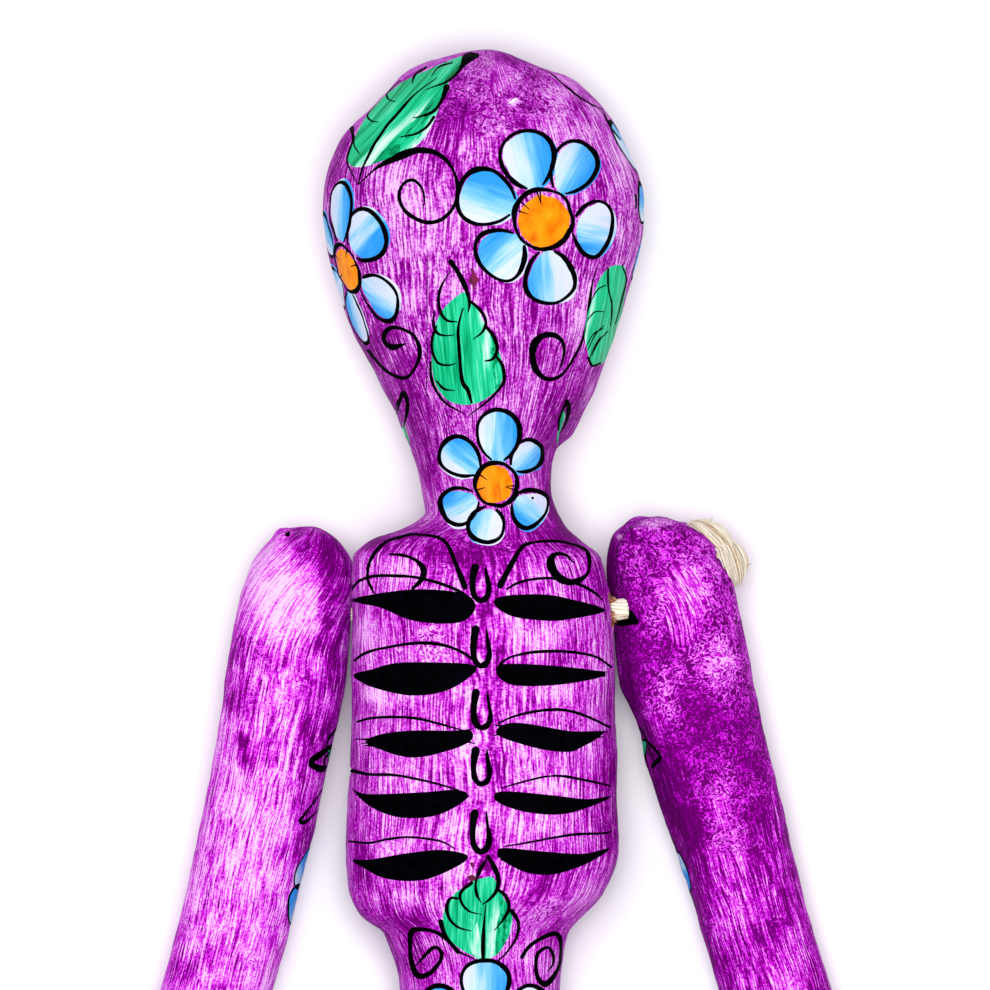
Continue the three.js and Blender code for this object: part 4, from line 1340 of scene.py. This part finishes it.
# Marks on the arms, seen from the side that faces the body and the front: across and along the arm
LEFT_ARM_VIEW, RIGHT_ARM_VIEW = -51, 231
LEFT_ARM_MARKS = [
    [(50, 194, 3), (60, 195, 4.4), (72, 202, 5), (75, 212, 2.4)],
    [(50, 215, 3.4), (66, 214, 6), (82, 221, 8), (93, 229, 7), (80, 234, 6.6), (62, 235, 5), (48, 230, 3)],
    [(58, 218, 3), (72, 225, 5), (66, 232, 3)],
    [(46, 248, 1.8), (60, 258, 2.6), (76, 272, 3), (89, 288, 4.6), (80, 289, 4), (68, 282, 2.4),
     (56, 276, 1.6)],
]
RIGHT_ARM_MARKS = [
    [(46, 195, 3), (62, 201, 5), (78, 212, 5.6), (94, 226, 5.4), (92, 231, 5), (78, 235, 5), (66, 239, 4)],
    [(66, 209, 3), (74, 221, 5), (78, 233, 4)],
]
LEFT_ARM_FLOWER, RIGHT_ARM_FLOWER = (25, 355), (12, 351)
# Painted shadow: a black dot for the shade inside a cord hole at the top of the left arm
LEFT_ARM_HOLE_SHADOW = (-27, 13)
# Painted shade: dark strokes in the creases at the top of the right arm
RIGHT_ARM_CREASE_SHADOWS = [
    [(-39, 11, 1), (-35, 18, 2.2), (-33, 27, 0.8)],
    [(-58, 22, 1), (-53, 38, 2), (-55, 58, 2.4), (-58, 74, 1)],
]
# Painted shadow: black under the cord's end, where it goes into the right arm
CORD_HOLE_SHADOW = [(-92, 98), (-76, 94), (-60, 89), (-47, 85), (-42, 91), (-39, 100), (-55, 101), (-75, 102)]


def paint_arm(canvas, way):
    """The painted side of an arm faces the front and the body."""
    if way < 0:
        view, marks, blossom, turn = LEFT_ARM_VIEW, LEFT_ARM_MARKS, LEFT_ARM_FLOWER, 0
    else:
        view, marks, blossom, turn = RIGHT_ARM_VIEW, RIGHT_ARM_MARKS, RIGHT_ARM_FLOWER, 30
    leaf(canvas, view, *mirrored(way, [(-26, 254), (72, 212)]), 36, 1.4)
    canvas.strokes(view, [mirrored(way, line) for line in marks])
    petals = [(way * out, along, 43, 1.3) for out, along, _, _ in round_petals(6, 52, 43, turn)]
    flower(canvas, view, (way * blossom[0], blossom[1]), 15, petals, (0, 0), (0, 0), 3.4)
    leaf(canvas, view, *mirrored(way, [(10, 460), (-30, 530)]), 46)
    scroll(canvas, view, (way * 34, 490), 24, 0, way)
    flower(canvas, view, (0, 640), 20, round_petals(6, 66, 40, 10))
    leaf(canvas, view, *mirrored(way, [(-4, 120), (-30, 180)]), 44)
    if way < 0:
        # A black dot painted as the shade inside the hole
        canvas.blob(BACK, ring_of(LEFT_ARM_HOLE_SHADOW, 3))
    else:
        # Painted shade in the creases at the top
        for line in RIGHT_ARM_CREASE_SHADOWS:
            canvas.stroke(BACK, line, paint="crease_shadow")
        # Black painted as the shadow under the cord's end
        canvas.blob(BACK, CORD_HOLE_SHADOW)
    for spread in (-22, -6, 10):
        finger = [(spread, 822, 1.4), (spread * 1.15, 842, 3), (spread * 1.2, 862, 3)]
        canvas.stroke(BACK, finger)
        canvas.stroke(FRONT, finger)


def paint_leg(canvas, way):
    flower(canvas, FRONT, (0, 175), 22, round_petals(6, 76, 42, 15))
    leaf(canvas, FRONT, (way * 10, 262), (way * 34, 330), 46)
    scroll(canvas, FRONT, (-way * 30, 300), 26, 200, way)
    flower(canvas, FRONT, (0, 470), 19, round_petals(6, 62, 38, 0))
    leaf(canvas, FRONT, (0, 545), (way * 8, 620), 38)


def paint_foot(canvas, way):
    for spread in (-24, -8, 8, 24):
        canvas.stroke(FRONT, [(spread, 130, 1.2), (spread * 1.1, 146, 3), (spread * 1.15, 158, 3)])


# Dents, folds and worn places of the paper


def bumps(items):
    """Lumps and dents at places: right, down, up, radius and height."""
    items = np.array(items, float).reshape(-1, 5)

    def relief(points):
        away = np.linalg.norm(points[:, None, :] - items[None, :, :3], axis=-1) / items[:, 3]
        return (hill(np.minimum(1, away)) * items[:, 4]).sum(-1)

    return relief


def crumpled(items=(), seed=11):
    """The relief of hand-laid paper: broad lumps, fine ones and bumps at given places."""
    parts = [lumps(seed, 60, 160, 0.5), lumps(seed + 1, 16, 36, 0.26, 28), bumps(items)]
    return lambda points: sum(part(points) for part in parts)


def fold(start, stop, radius, height):
    """Bumps in a row, as a fold of the paper."""
    start, stop = np.array(start, float), np.array(stop, float)
    count = max(2, round(np.linalg.norm(stop - start) / radius * 2.4))
    return [(*(start + (stop - start) * t), radius, height * 0.62) for t in np.linspace(0, 1, count)]


BODY_BUMPS = [
    (131, 545, 150, 13, 2.2),
    (131, 575, 142, 13, 2.0),
    (133, 560, 156, 12, 2.4),
    (-72, 75, 235, 26, -2.4),
    (-55, 95, 245, 18, 1.8),
    (-106, 52, 155, 48, -8.0),
    (56, 10, 155, 48, -6.5),
]
LEFT_ARM_BUMPS = [
    (-200, 486, 108, 13, 5.6),
    (-200, 489, 124, 10, 4.0),
    (-220, 506, 120, 24, -3.0),
    (-182, 478, 120, 16, -2.5),
    (-130, 545, 104, 80, 3.0),
]
RIGHT_ARM_BUMPS = [
    (150, 674, 90, 40, -6.0),
    (238, 484, 112, 46, -9.0),
    (130, 478, 112, 42, -8.0),
    (149, 468, 106, 22, 5.5),
    (206, 468, 106, 32, -5.0),
    *fold((150, 474, 143), (136, 512, 134), 9, 2.6),
    *fold((136, 512, 134), (134, 556, 126), 9, 1.8),
    *fold((160, 482, 150), (150, 508, 146), 7, -2.4),
    *fold((168, 474, 148), (204, 486, 156), 8, 2.2),
    *fold((176, 492, 156), (168, 530, 156), 8, 1.8),
    *fold((190, 500, 158), (212, 520, 156), 7, -1.6),
    *fold((150, 540, 142), (150, 600, 138), 8, 1.4),
]


def toned_and_shaded(part, rich, dabs, worn=()):
    """How light and how worn the paint is, from dabs of right, down, half sizes and amount, and
    how rich it is, from the distance down. The lightness dabs carry painted shade and painted
    highlights as well as the glaze's own lighter and darker patches."""
    part.rich = np.interp(part.points[:, 1], *rich)
    for name, placed in (("tone", dabs), ("worn", worn)):
        sums = np.zeros(len(part.points))
        for right, down, wide, high, amount in placed:
            away = np.hypot((part.points[:, 0] - right) / wide, (part.points[:, 1] - down) / high)
            sums += amount * hill(np.minimum(1, away) ** 2)
        setattr(part, name, sums)
    return part


# Patches of lighter and darker paint: right, down, half sizes and amount. Besides the glaze's own
# patches they hold painted shade, darker down the sides where the arms lie against the body, and
# painted light, lighter on the head's upper right where it turns away from the lamps.
BODY_TONES_AND_SHADE = [
    (-92, 495, 14, 6, -0.4),
    # Painted light: lighter on the head's upper right, which turns away from the lamps
    (78, 38, 32, 22, 0.9),
    (108, 70, 22, 24, 0.6),
    (133, 112, 18, 34, 0.3),
    (-92, 128, 34, 16, 0.5),
    (-22, 162, 20, 18, 0.3),
    (-112, 645, 12, 10, 0.3),
    (98, 700, 20, 14, 0.3),
    (-32, 822, 31.2, 12, 0.85),
    (-77, 851, 18, 16, 0.85),
    (72, 642, 26, 12, 0.25),
    (43, 640, 16, 14, 0.4),
    (72, 216, 20, 14, 0.4),
    (32, 53, 6, 4, 2.2),
    (133, 100, 16, 22, 0.15),
    (-17, 150, 18, 30, 0.5),
    (-47, 292, 16, 30, -0.4),
    (-47, 340, 14, 18, 0.7),
    (43, 285, 12, 28, 0.35),
    (-107, 492, 20, 18, -0.45),
    (88, 490, 30, 16, -0.4),
    (8, 565, 12, 30, -0.4),
    (73, 610, 22, 12, -0.5),
    (-107, 642, 18, 14, 0.4),
    (103, 731, 18, 12, -0.4),
    (-17, 790, 14, 14, -0.6),
    (76, 851, 20, 14, -0.3),
    (76, 642, 28, 12, 0.3),
    (38, 4, 34, 16, -0.9),
    (-18, 70, 22, 24, -0.5),
    (-52, 66, 20, 24, -0.3),
    # Painted light on the head's upper right
    (72, 62, 28, 28, 0.75),
    (98, 92, 20, 22, 0.7),
    (-74, 182, 40, 34, 0.35),
    (-26, 242, 16, 16, 0.4),
    (-116, 290, 20, 30, -0.4),
    (-62, 385, 30, 64, -0.35),
    (78, 366, 30, 40, -0.3),
    (72, 450, 26, 26, -0.6),
    (92, 478, 48, 22, -0.5),
    (-112, 484, 26, 24, -0.45),
    # Painted shade where the right arm meets the body
    (124, 520, 14, 50, -0.5),
    (-42, 505, 32, 22, -0.4),
    (-4, 506, 36, 18, -0.4),
    (-55, 570, 28, 12, -0.3),
    (-118, 815, 20, 30, -0.5),
    (-80, 892, 48, 50, -0.4),
    (66, 832, 28, 20, -0.3),
    (-15, 790, 24, 30, 0.4),
    (52, 776, 32, 12, 0.5),
    (-50, 812, 20, 10, 0.4),
    (-15, 42, 36, 46, -0.5),
    (25, 60, 90, 60, -0.2),
    (-45, 78, 24, 32, -0.45),
    (42, 60, 34, 30, -0.6),
    (76, 40, 40, 40, -0.5),
    (110, 62, 24, 50, -0.3),
    (70, 100, 26, 30, 0.4),
    (-140, 112, 28, 46, -0.35),
    (-80, 142, 36, 50, 0.5),
    (-116, 168, 24, 64, -0.4),
    (8, 104, 34, 24, 0.25),
    (-18, 162, 26, 38, 0.3),
    (138, 162, 20, 36, 0.3),
    (110, 190, 18, 30, -0.3),
    (82, 288, 54, 54, -0.45),
    (108, 262, 20, 40, 0.4),
    (-62, 240, 24, 34, 0.25),
    (-47, 290, 16, 34, -0.4),
    (-112, 282, 34, 46, -0.8),
    (-78, 344, 26, 52, -0.6),
    (-48, 390, 28, 66, -0.45),
    (-52, 332, 16, 20, 0.3),
    (78, 400, 30, 90, -0.65),
    (94, 330, 18, 40, -0.3),
    (0, 492, 130, 30, -0.7),
    (-40, 520, 56, 26, -0.5),
    (-78, 520, 22, 18, 0.75),
    (-110, 486, 30, 22, -0.3),
    (74, 466, 40, 34, -0.5),
    (8, 552, 16, 24, -0.7),
    (104, 536, 26, 32, -0.6),
    (-122, 562, 18, 24, -0.3),
    (-106, 580, 26, 22, 0.4),
    (-17, 578, 26, 44, -0.3),
    (46, 582, 30, 32, 0.55),
    (70, 580, 24, 22, 0.4),
    (74, 608, 24, 18, -0.3),
    (-92, 642, 38, 18, 0.6),
    (-17, 642, 18, 18, 0.6),
    (12, 650, 12, 110, -0.25),
    (104, 656, 24, 30, -0.5),
    (-17, 702, 20, 30, 0.8),
    (-76, 728, 26, 20, 0.55),
    # Painted shade down the left side, where the left arm lies against the body
    (-116, 690, 16, 90, -0.3),
    (-118, 780, 20, 60, -0.45),
    (44, 766, 26, 26, 0.55),
    (-78, 792, 26, 18, 0.5),
    (-17, 800, 22, 34, 0.35),
    (44, 796, 24, 18, 0.45),
    # Painted shade down the right side, where the right arm lies against the body
    (128, 740, 20, 110, -0.75),
    (96, 690, 20, 24, -0.3),
    (80, 826, 34, 24, -0.4),
    (-92, 872, 60, 30, -0.55),
    (-100, 836, 34, 20, -0.3),
    (72, 880, 60, 30, -0.25),
    (-56, 900, 40, 44, -0.25),
    (60, 940, 40, 40, 0.2),
]
BODY_WORN = [
    (20, 40, 100, 60, 0.9),
    (-20, 60, 60, 60, 0.4),
    (-60, 600, 60, 40, 0.4),
    (70, 860, 60, 40, 0.3),
    (-60, 860, 60, 40, 0.3),
    (0, 500, 130, 30, 0.4),
]
BODY_RICHNESS = (30, 130, 400, 520), (0.45, 0.0, 0.0, 0.55)
LIMB_RICHNESS = (0, 1), (1.0, 1.0)
# The left arm's lighter and darker paint, with painted shade along its inner side next to the body
LEFT_ARM_TONES_AND_SHADE = [
    (-167, 612, 12, 18, 1.1),
    (-227, 580, 18, 14, 0.45),
    (-197, 582, 12, 14, -0.3),
    (-287, 790, 14, 16, -0.4),
    (-257, 730, 18, 14, -0.35),
    (-285, 850, 16, 16, 0.3),
    (-230, 700, 300, 700, 0.2),
    (-205, 555, 50, 60, 0.4),
    (-196, 552, 36, 44, 0.35),
    (-236, 618, 40, 74, -0.75),
    (-166, 488, 36, 28, -0.85),
    (-212, 528, 34, 44, 0.45),
    (-156, 508, 18, 30, -0.35),
    # Painted shade along the inner side, next to the body
    (-146, 548, 20, 110, -1.1),
    (-160, 655, 28, 84, -1.0),
    (-176, 760, 16, 110, -0.8),
    (-241, 688, 9, 9, -1.3),
    (-237, 708, 7, 28, -1.5),
    (-209, 712, 9, 9, -1.0),
    (-222, 690, 40, 16, -0.3),
    (-300, 925, 20, 30, -0.6),
    (-236, 780, 50, 90, 0.4),
    (-250, 912, 60, 30, 0.2),
]
LEFT_ARM_WORN = [
    (-210, 640, 80, 70, 0.1),
    (-190, 500, 50, 30, 0.4),
]
# The right arm's lighter and darker paint, with painted shade along its inner side next to the body, on its
# flat inner side and in the creases at its top, and painted highlights on its top ridge
RIGHT_ARM_TONES_SHADE_AND_HIGHLIGHTS = [
    (240, 720, 220, 560, -0.88),
    (310, 925, 18, 60, 0.7),
    (255, 925, 14, 30, 0.3),
    (178, 690, 18, 20, 0.4),
    # Painted shade on the flat inner side
    (124, 520, 8, 46, -1.2),
    (202, 552, 30, 48, 0.8),
    (228, 604, 30, 30, 0.45),
    (240, 626, 26, 30, 0.4),
    (155, 552, 22, 32, -0.5),
    (216, 528, 30, 50, 0.4),
    (240, 695, 60, 60, -0.4),
    (215, 768, 20, 40, -0.4),
    (178, 604, 26, 22, -0.6),
    (176, 656, 24, 28, 0.6),
    (214, 655, 26, 24, -0.5),
    (232, 680, 28, 26, -0.5),
    (270, 730, 22, 90, -0.3),
    # Painted shade on the flat inner side and along the inner side, next to the body
    (126, 520, 12, 50, -1.4),
    (140, 590, 24, 70, -0.5),
    (158, 650, 22, 90, -0.6),
    (180, 735, 30, 90, -0.9),
    (206, 800, 20, 70, -0.6),
    (222, 850, 16, 60, -0.3),
    (244, 760, 28, 70, 0.3),
    (250, 850, 40, 70, 0.5),
    (282, 890, 30, 50, 0.2),
    # Painted highlights on the top ridge and a light spot, then painted shade in two creases
    (176, 473, 26, 6, 0.7),
    (138, 487, 4, 4, 2.2),
    (150, 489, 5, 10, -1.2),
    (162, 484, 4, 9, -0.8),
]
RIGHT_ARM_WORN = [
    (190, 560, 120, 150, 1.3),
    (245, 700, 80, 130, 1.2),
    (202, 560, 28, 56, -1.35),
]


def bare_part(points, normals, grain, triangles, paint=0):
    """A part with no drawing on it. Its triangles are turned to face the way of its normals."""
    a, b, c = np.moveaxis(points[triangles], 1, 0)
    if (np.cross(b - a, c - a) * normals[triangles[:, 0]]).sum() > 0:
        triangles = triangles[:, ::-1]
    plain = np.zeros(len(points))
    return SimpleNamespace(
        points=points, normals=normals, grain=grain, triangles=triangles, tone=plain, worn=plain,
        rich=plain, paints=np.full(len(triangles), paint), spots=np.zeros((len(triangles), 3, 3)),
    )


def tube_triangles(index):
    """Two triangles for each square of a tube's points, whose last axis runs round the tube."""
    a, b = index[..., :-1, :], index[..., 1:, :]
    c, d = np.roll(b, -1, axis=-1), np.roll(a, -1, axis=-1)
    return np.concatenate([np.stack(corners, -1).reshape(-1, 3) for corners in ((a, b, c), (a, c, d))])


def torn_lip(middle, radius):
    """The ragged lip of paper round the hole that the shoulder cord comes out of. It starts under
    the skin, and gets narrower and more ragged on its way out."""
    rng = np.random.default_rng(6)
    count, rows = 40, 5
    start, length, narrowing, raggedness = -2, 7, 0.22, 1.2
    turns = np.linspace(0, 2 * math.pi, count, endpoint=False)
    ragged = uneven(rng, count, (0.3, 0.5, 0.3))
    frayed = rng.normal(size=count)
    points = []
    for out in np.linspace(0, 1, rows):
        reach = radius * (1.12 - narrowing * out) + raggedness * ragged * out
        away = start + (length + 2 * raggedness * ragged + 1.5 * raggedness * frayed) * out
        points.append(np.column_stack([away, reach * np.cos(turns), reach * np.sin(turns)]))
    points = np.array(middle, float) + np.concatenate(points)
    outwards = unit(np.tile(np.column_stack([np.full(count, 0.3), np.cos(turns), np.sin(turns)]), (rows, 1)))
    triangles = tube_triangles(np.arange(rows * count).reshape(rows, count))
    return bare_part(points, outwards, points, triangles, PAINTS.index("torn_paper"))


def piece(name, node, parts):
    made = make_mesh(name, parts, PAPER_MATERIALS)
    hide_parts(node)


body = Body(seam=205, relief=crumpled(BODY_BUMPS))
body_canvas = Canvas(body, seed=1)
paint_body(body_canvas)
torso = toned_and_shaded(skin(body, body_canvas), BODY_RICHNESS, BODY_TONES_AND_SHADE, BODY_WORN)
piece("painted_head_and_torso", "head_and_torso", [torso, torn_lip(LIP_MIDDLE, LIP_RADIUS)])


def painted(form, seed, paint, way, tones_and_shade=(), worn=()):
    """A limb's skin with its drawing, if a paint is given."""
    canvas = Canvas(form, seed)
    if paint:
        paint(canvas, way)
    return toned_and_shaded(skin(form, canvas), LIMB_RICHNESS, tones_and_shade, worn)


def arm_rows(upper_arm, way):
    right, down = upper_arm[-1][:2]
    forearm = [(right + way * out, down + more, *rest) for out, more, *rest in FOREARM]
    thumb = [(right + way * (FOREARM[3][0] + out), down + more, *rest) for out, more, *rest in THUMB]
    return upper_arm + forearm, thumb


for side, way, upper_arm, dome, facets, items, lean, tones_and_shade, worn in (
    ("left", -1, LEFT_UPPER_ARM, LEFT_SHOULDER_DOME,
     (), LEFT_ARM_BUMPS, LEFT_ARM_LEAN, LEFT_ARM_TONES_AND_SHADE, LEFT_ARM_WORN),
    ("right", 1, RIGHT_UPPER_ARM, RIGHT_SHOULDER_DOME,
     INNER_FACET, RIGHT_ARM_BUMPS, RIGHT_ARM_LEAN, RIGHT_ARM_TONES_SHADE_AND_HIGHLIGHTS, RIGHT_ARM_WORN),
):
    rows, thumb_rows = arm_rows(upper_arm, way)
    seam = 200 if way < 0 else -20
    arm = Limb(rows, (dome, HAND_DOME), seam, crumpled(items, 21 + way), facets, lean)
    thumb = Limb(thumb_rows, (THUMB_DOME, THUMB_DOME), seam, crumpled(seed=24))
    parts = [painted(arm, 5 + way, paint_arm, way, tones_and_shade, worn), painted(thumb, 8, None, way)]
    piece(f"painted_{side}_arm", f"{side}_arm", parts)

pelvis_left, pelvis_right = smooth_table(BODY_ROWS)(np.array([float(HIP_DOWN)]))[0][:2]
leg_insides = {-1: pelvis_left + LEG_GAP, 1: pelvis_right + LEG_GAP}
for side, way in (("left", -1), ("right", 1)):
    seam = 180 if way < 0 else 0
    parts = []
    for rows, domes, paint in (
        (LEG, (HIP_DOME, ANKLE_DOME), paint_leg),
        (FOOT, (HEEL_DOME, TOE_DOME), paint_foot),
    ):
        placed = [(way * (leg_insides[way] + row[0]), *row[1:]) for row in rows]
        limb = Limb(placed, domes, seam, crumpled(seed=31 + way))
        parts.append(painted(limb, 12 + way, paint, way))
    piece(f"painted_{side}_leg", f"{side}_leg", parts)


# Cotton cords, made of yarns


def frames_along(line):
    """The directions ahead, to the side and back all along a line."""
    ahead = unit(np.gradient(line, axis=0))
    side = unit(np.cross(ahead, (0.13, 0.2, 0.97)))
    return ahead, side, np.cross(side, ahead)


def run_along(line):
    return np.append(0, np.cumsum(np.linalg.norm(np.diff(line, axis=0), axis=1)))


def yarn_tubes(paths, thickness, sides=5):
    """Round tubes along paths, as one part. Thickness is given along the paths."""
    rng = np.random.default_rng(len(paths))
    count, steps, _ = paths.shape
    turns = np.linspace(0, 2 * math.pi, sides, endpoint=False)
    points, normals, grain = [], [], []
    for number, path in enumerate(paths):
        _, side, back = frames_along(path)
        out = side[:, None] * np.cos(turns)[:, None] + back[:, None] * np.sin(turns)[:, None]
        points.append(path[:, None] + out * thickness[:, None, None])
        normals.append(out)
        round_it = np.stack([np.cos(turns) + 9.0 * number, np.sin(turns)], -1)
        run = np.repeat(run_along(path)[:, None], sides, 1)
        grain.append(np.dstack([np.broadcast_to(round_it, (steps, sides, 2)), run]))
    points, normals, grain = (np.concatenate(rings).reshape(-1, 3) for rings in (points, normals, grain))
    points[:, 2] = np.maximum(LOWEST_YARN, points[:, 2])
    triangles = tube_triangles(np.arange(len(points)).reshape(count, steps, sides))
    part = bare_part(points, normals, grain, triangles)
    part.tone = np.repeat(0.1 * rng.normal(size=count), steps * sides)
    return part


def wound(line, radii, twist, rng, count=26, yarn=1.4, slack=0.03):
    """The paths of yarns that are wound round a line, in three rings, a little loose."""
    _, side, back = frames_along(line)
    run = run_along(line)
    paths = []
    for share, number in ((1.0, count), (0.8, count), (0.5, count // 2)):
        for i in range(number):
            turn = 2 * math.pi * (i + 0.4 * rng.normal()) / number + twist * run
            loose = 1 + slack * rng.normal() + 0.04 * np.sin(run / rng.uniform(9, 16) + rng.uniform(0, 6))
            reach = (np.maximum(0.5, radii - yarn) * share * loose)[:, None]
            paths.append(line + (side * np.cos(turn)[:, None] + back * np.sin(turn)[:, None]) * reach)
    return np.array(paths)


def knot_lobe(middle, way, half_length, radius, rng, count=44, yarn=1.2):
    """A fat turn of the cord: yarns that run over it from end to end. It sags at both ends, where
    it gets thinner."""
    sag, taper, thinnest = 0.35, 0.86, 0.02
    t = np.linspace(-1, 1, 15)
    line = np.array(middle, float) + unit(np.array(way, float)) * (t * half_length)[:, None]
    line[:, 2] -= sag * radius * t**2
    radii = radius * np.sqrt(np.maximum(thinnest, 1 - taper * t**2))
    return yarn_tubes(wound(line, radii, 0.012, rng, count, yarn, slack=0.07), np.full(len(t), yarn))


def frayed_ends(middle, way, length, rng, count, spread):
    """Loose ends of yarn that fan out, bend and get thinner."""
    bending, scatter, steps = 0.4, 2.5, 8
    t = np.linspace(0, 1, steps)[:, None]
    paths = []
    for _ in range(count):
        ahead = unit(np.array(way, float) + spread * rng.normal(size=3))
        bend = unit(rng.normal(size=3)) * bending
        reach = length * rng.uniform(0.5, 1)
        paths.append(np.array(middle) + rng.normal(size=3) * scatter + reach * (ahead * t + bend * t**2))
    return yarn_tubes(np.array(paths), np.linspace(0.7, 0.25, steps), sides=4)


def cord(line, rng):
    """The cord itself, along a line."""
    radii = np.full(len(line), CORD_RADIUS)
    return yarn_tubes(wound(line, radii, 0.02, rng), np.full(len(line), CORD_YARN))


def plain_knot(end, slant, rng):
    """A knot of two turns beside each other."""
    return [knot_lobe(end + (0, way * 15, 0), (1, way * slant, 0), 12, 15, rng) for way in (-1, 1)]


def cord_piece(name, node, parts):
    made = make_mesh(name, parts, [COTTON])
    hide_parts(node)


# The knot outside the right arm: its turns and its loose ends, each with a place from the cord's
# end and a way. A turn has half its length and its radius, loose ends a length, number and spread.
RIGHT_KNOT_TURNS = [
    ((-12, -7, 4), (0.8, 0.6, -0.1), 24, 18),
    ((4, 14, 2), (0.46, 0.89, -0.1), 22, 19),
]
RIGHT_KNOT_ENDS = [
    ((12, 24, -4), (0.3, 1, -0.3), 17, 26, 0.45),
    ((-30, -22, 12), (0.1, -1, 0.3), 7, 26, 0.9),
    ((-12, -22, 10), (0.6, -0.8, 0.3), 8, 34, 0.9),
    ((14, 4, 4), (1, -0.1, 0.2), 7, 24, 0.9),
]

cord_rng = np.random.default_rng(3)
left_end, right_end = (np.array(SHOULDER_CORD_ROUTE[end], float) for end in (0, -1))
parts = [cord(smooth(SHOULDER_CORD_ROUTE, 7), cord_rng)]
for place, way, half_length, radius in RIGHT_KNOT_TURNS:
    parts.append(knot_lobe(right_end + place, way, half_length, radius, cord_rng, 130, 0.6))
for place, way, length, count, spread in RIGHT_KNOT_ENDS:
    parts.append(frayed_ends(right_end + place, way, length, cord_rng, count, spread))
parts += plain_knot(left_end, -0.1, cord_rng)
cord_piece("shoulder_cord_yarns", "shoulder_cord", parts)

hip_ends = [
    np.array([way * (leg_insides[way] + HIP_OUT + HIP_HALF + KNOT_OUT), HIP_DOWN, HIP_UP])
    for way in (-1, 1)
]
hip_route = hip_ends[0] + (hip_ends[1] - hip_ends[0]) * np.linspace(0, 1, 50)[:, None]
parts = [cord(hip_route, cord_rng)]
for end in hip_ends:
    parts += plain_knot(end, 0.1, cord_rng)
cord_piece("hip_cord_yarns", "hip_cord", parts)


# Stage, light and camera


# Metres and watts; the camera's middle and width are squares
LIGHT_TARGET, LIGHT_SIZE = (0, 0.1, 0), 0.7
KEY_PLACE, KEY_POWER = (-0.14, 0.26, 1.9), 20
FILL_PLACE, FILL_POWER = (0.16, 0.0, 1.9), 15
SKY_STRENGTH = 0.5
FLOOR_HALF, FLOOR_COLOUR = 4, (0.92, 0.92, 0.92, 1)
VIEW_MIDDLE = (13, 445, 150)
VIEW_WIDTH = 990
LENS = 1000.0


def area_light(name, place, power):
    data = bpy.data.lights.new(name, "AREA")
    data.shape = "SQUARE"
    data.size = LIGHT_SIZE
    data.energy = power
    light = linked(name, data)
    light.location = place
    light.rotation_euler = (Vector(LIGHT_TARGET) - Vector(place)).to_track_quat("-Z", "Y").to_euler()


def make_stage():
    mesh = bpy.data.meshes.new("floor")
    corners = [(x * FLOOR_HALF, y * FLOOR_HALF, 0) for x, y in ((-1, -1), (1, -1), (1, 1), (-1, 1))]
    mesh.from_pydata(corners, [], [(0, 1, 2, 3)])
    floor = linked("floor", mesh)
    mesh.materials.append(Recipe("pale_floor", 0.9, 0.1).finish(FLOOR_COLOUR))
    world = bpy.data.worlds.new("studio")
    bpy.context.scene.world = world
    world.use_nodes = True
    sky = world.node_tree.nodes["Background"]
    sky.inputs["Color"].default_value = (1, 1, 1, 1)
    sky.inputs["Strength"].default_value = SKY_STRENGTH
    area_light("key", KEY_PLACE, KEY_POWER)
    area_light("fill", FILL_PLACE, FILL_POWER)


def make_camera():
    """The camera looks straight down from far away."""
    data = bpy.data.cameras.new("camera")
    data.lens = LENS
    camera = linked("camera", data)
    right, back, up = to_metres(VIEW_MIDDLE)
    distance = VIEW_WIDTH * SQUARE * LENS / data.sensor_width
    camera.location = (right, back, up + distance)
    data.clip_end = distance * 3
    bpy.context.scene.camera = camera


make_stage()
make_camera()
bpy.context.scene.view_settings.view_transform = "Standard"
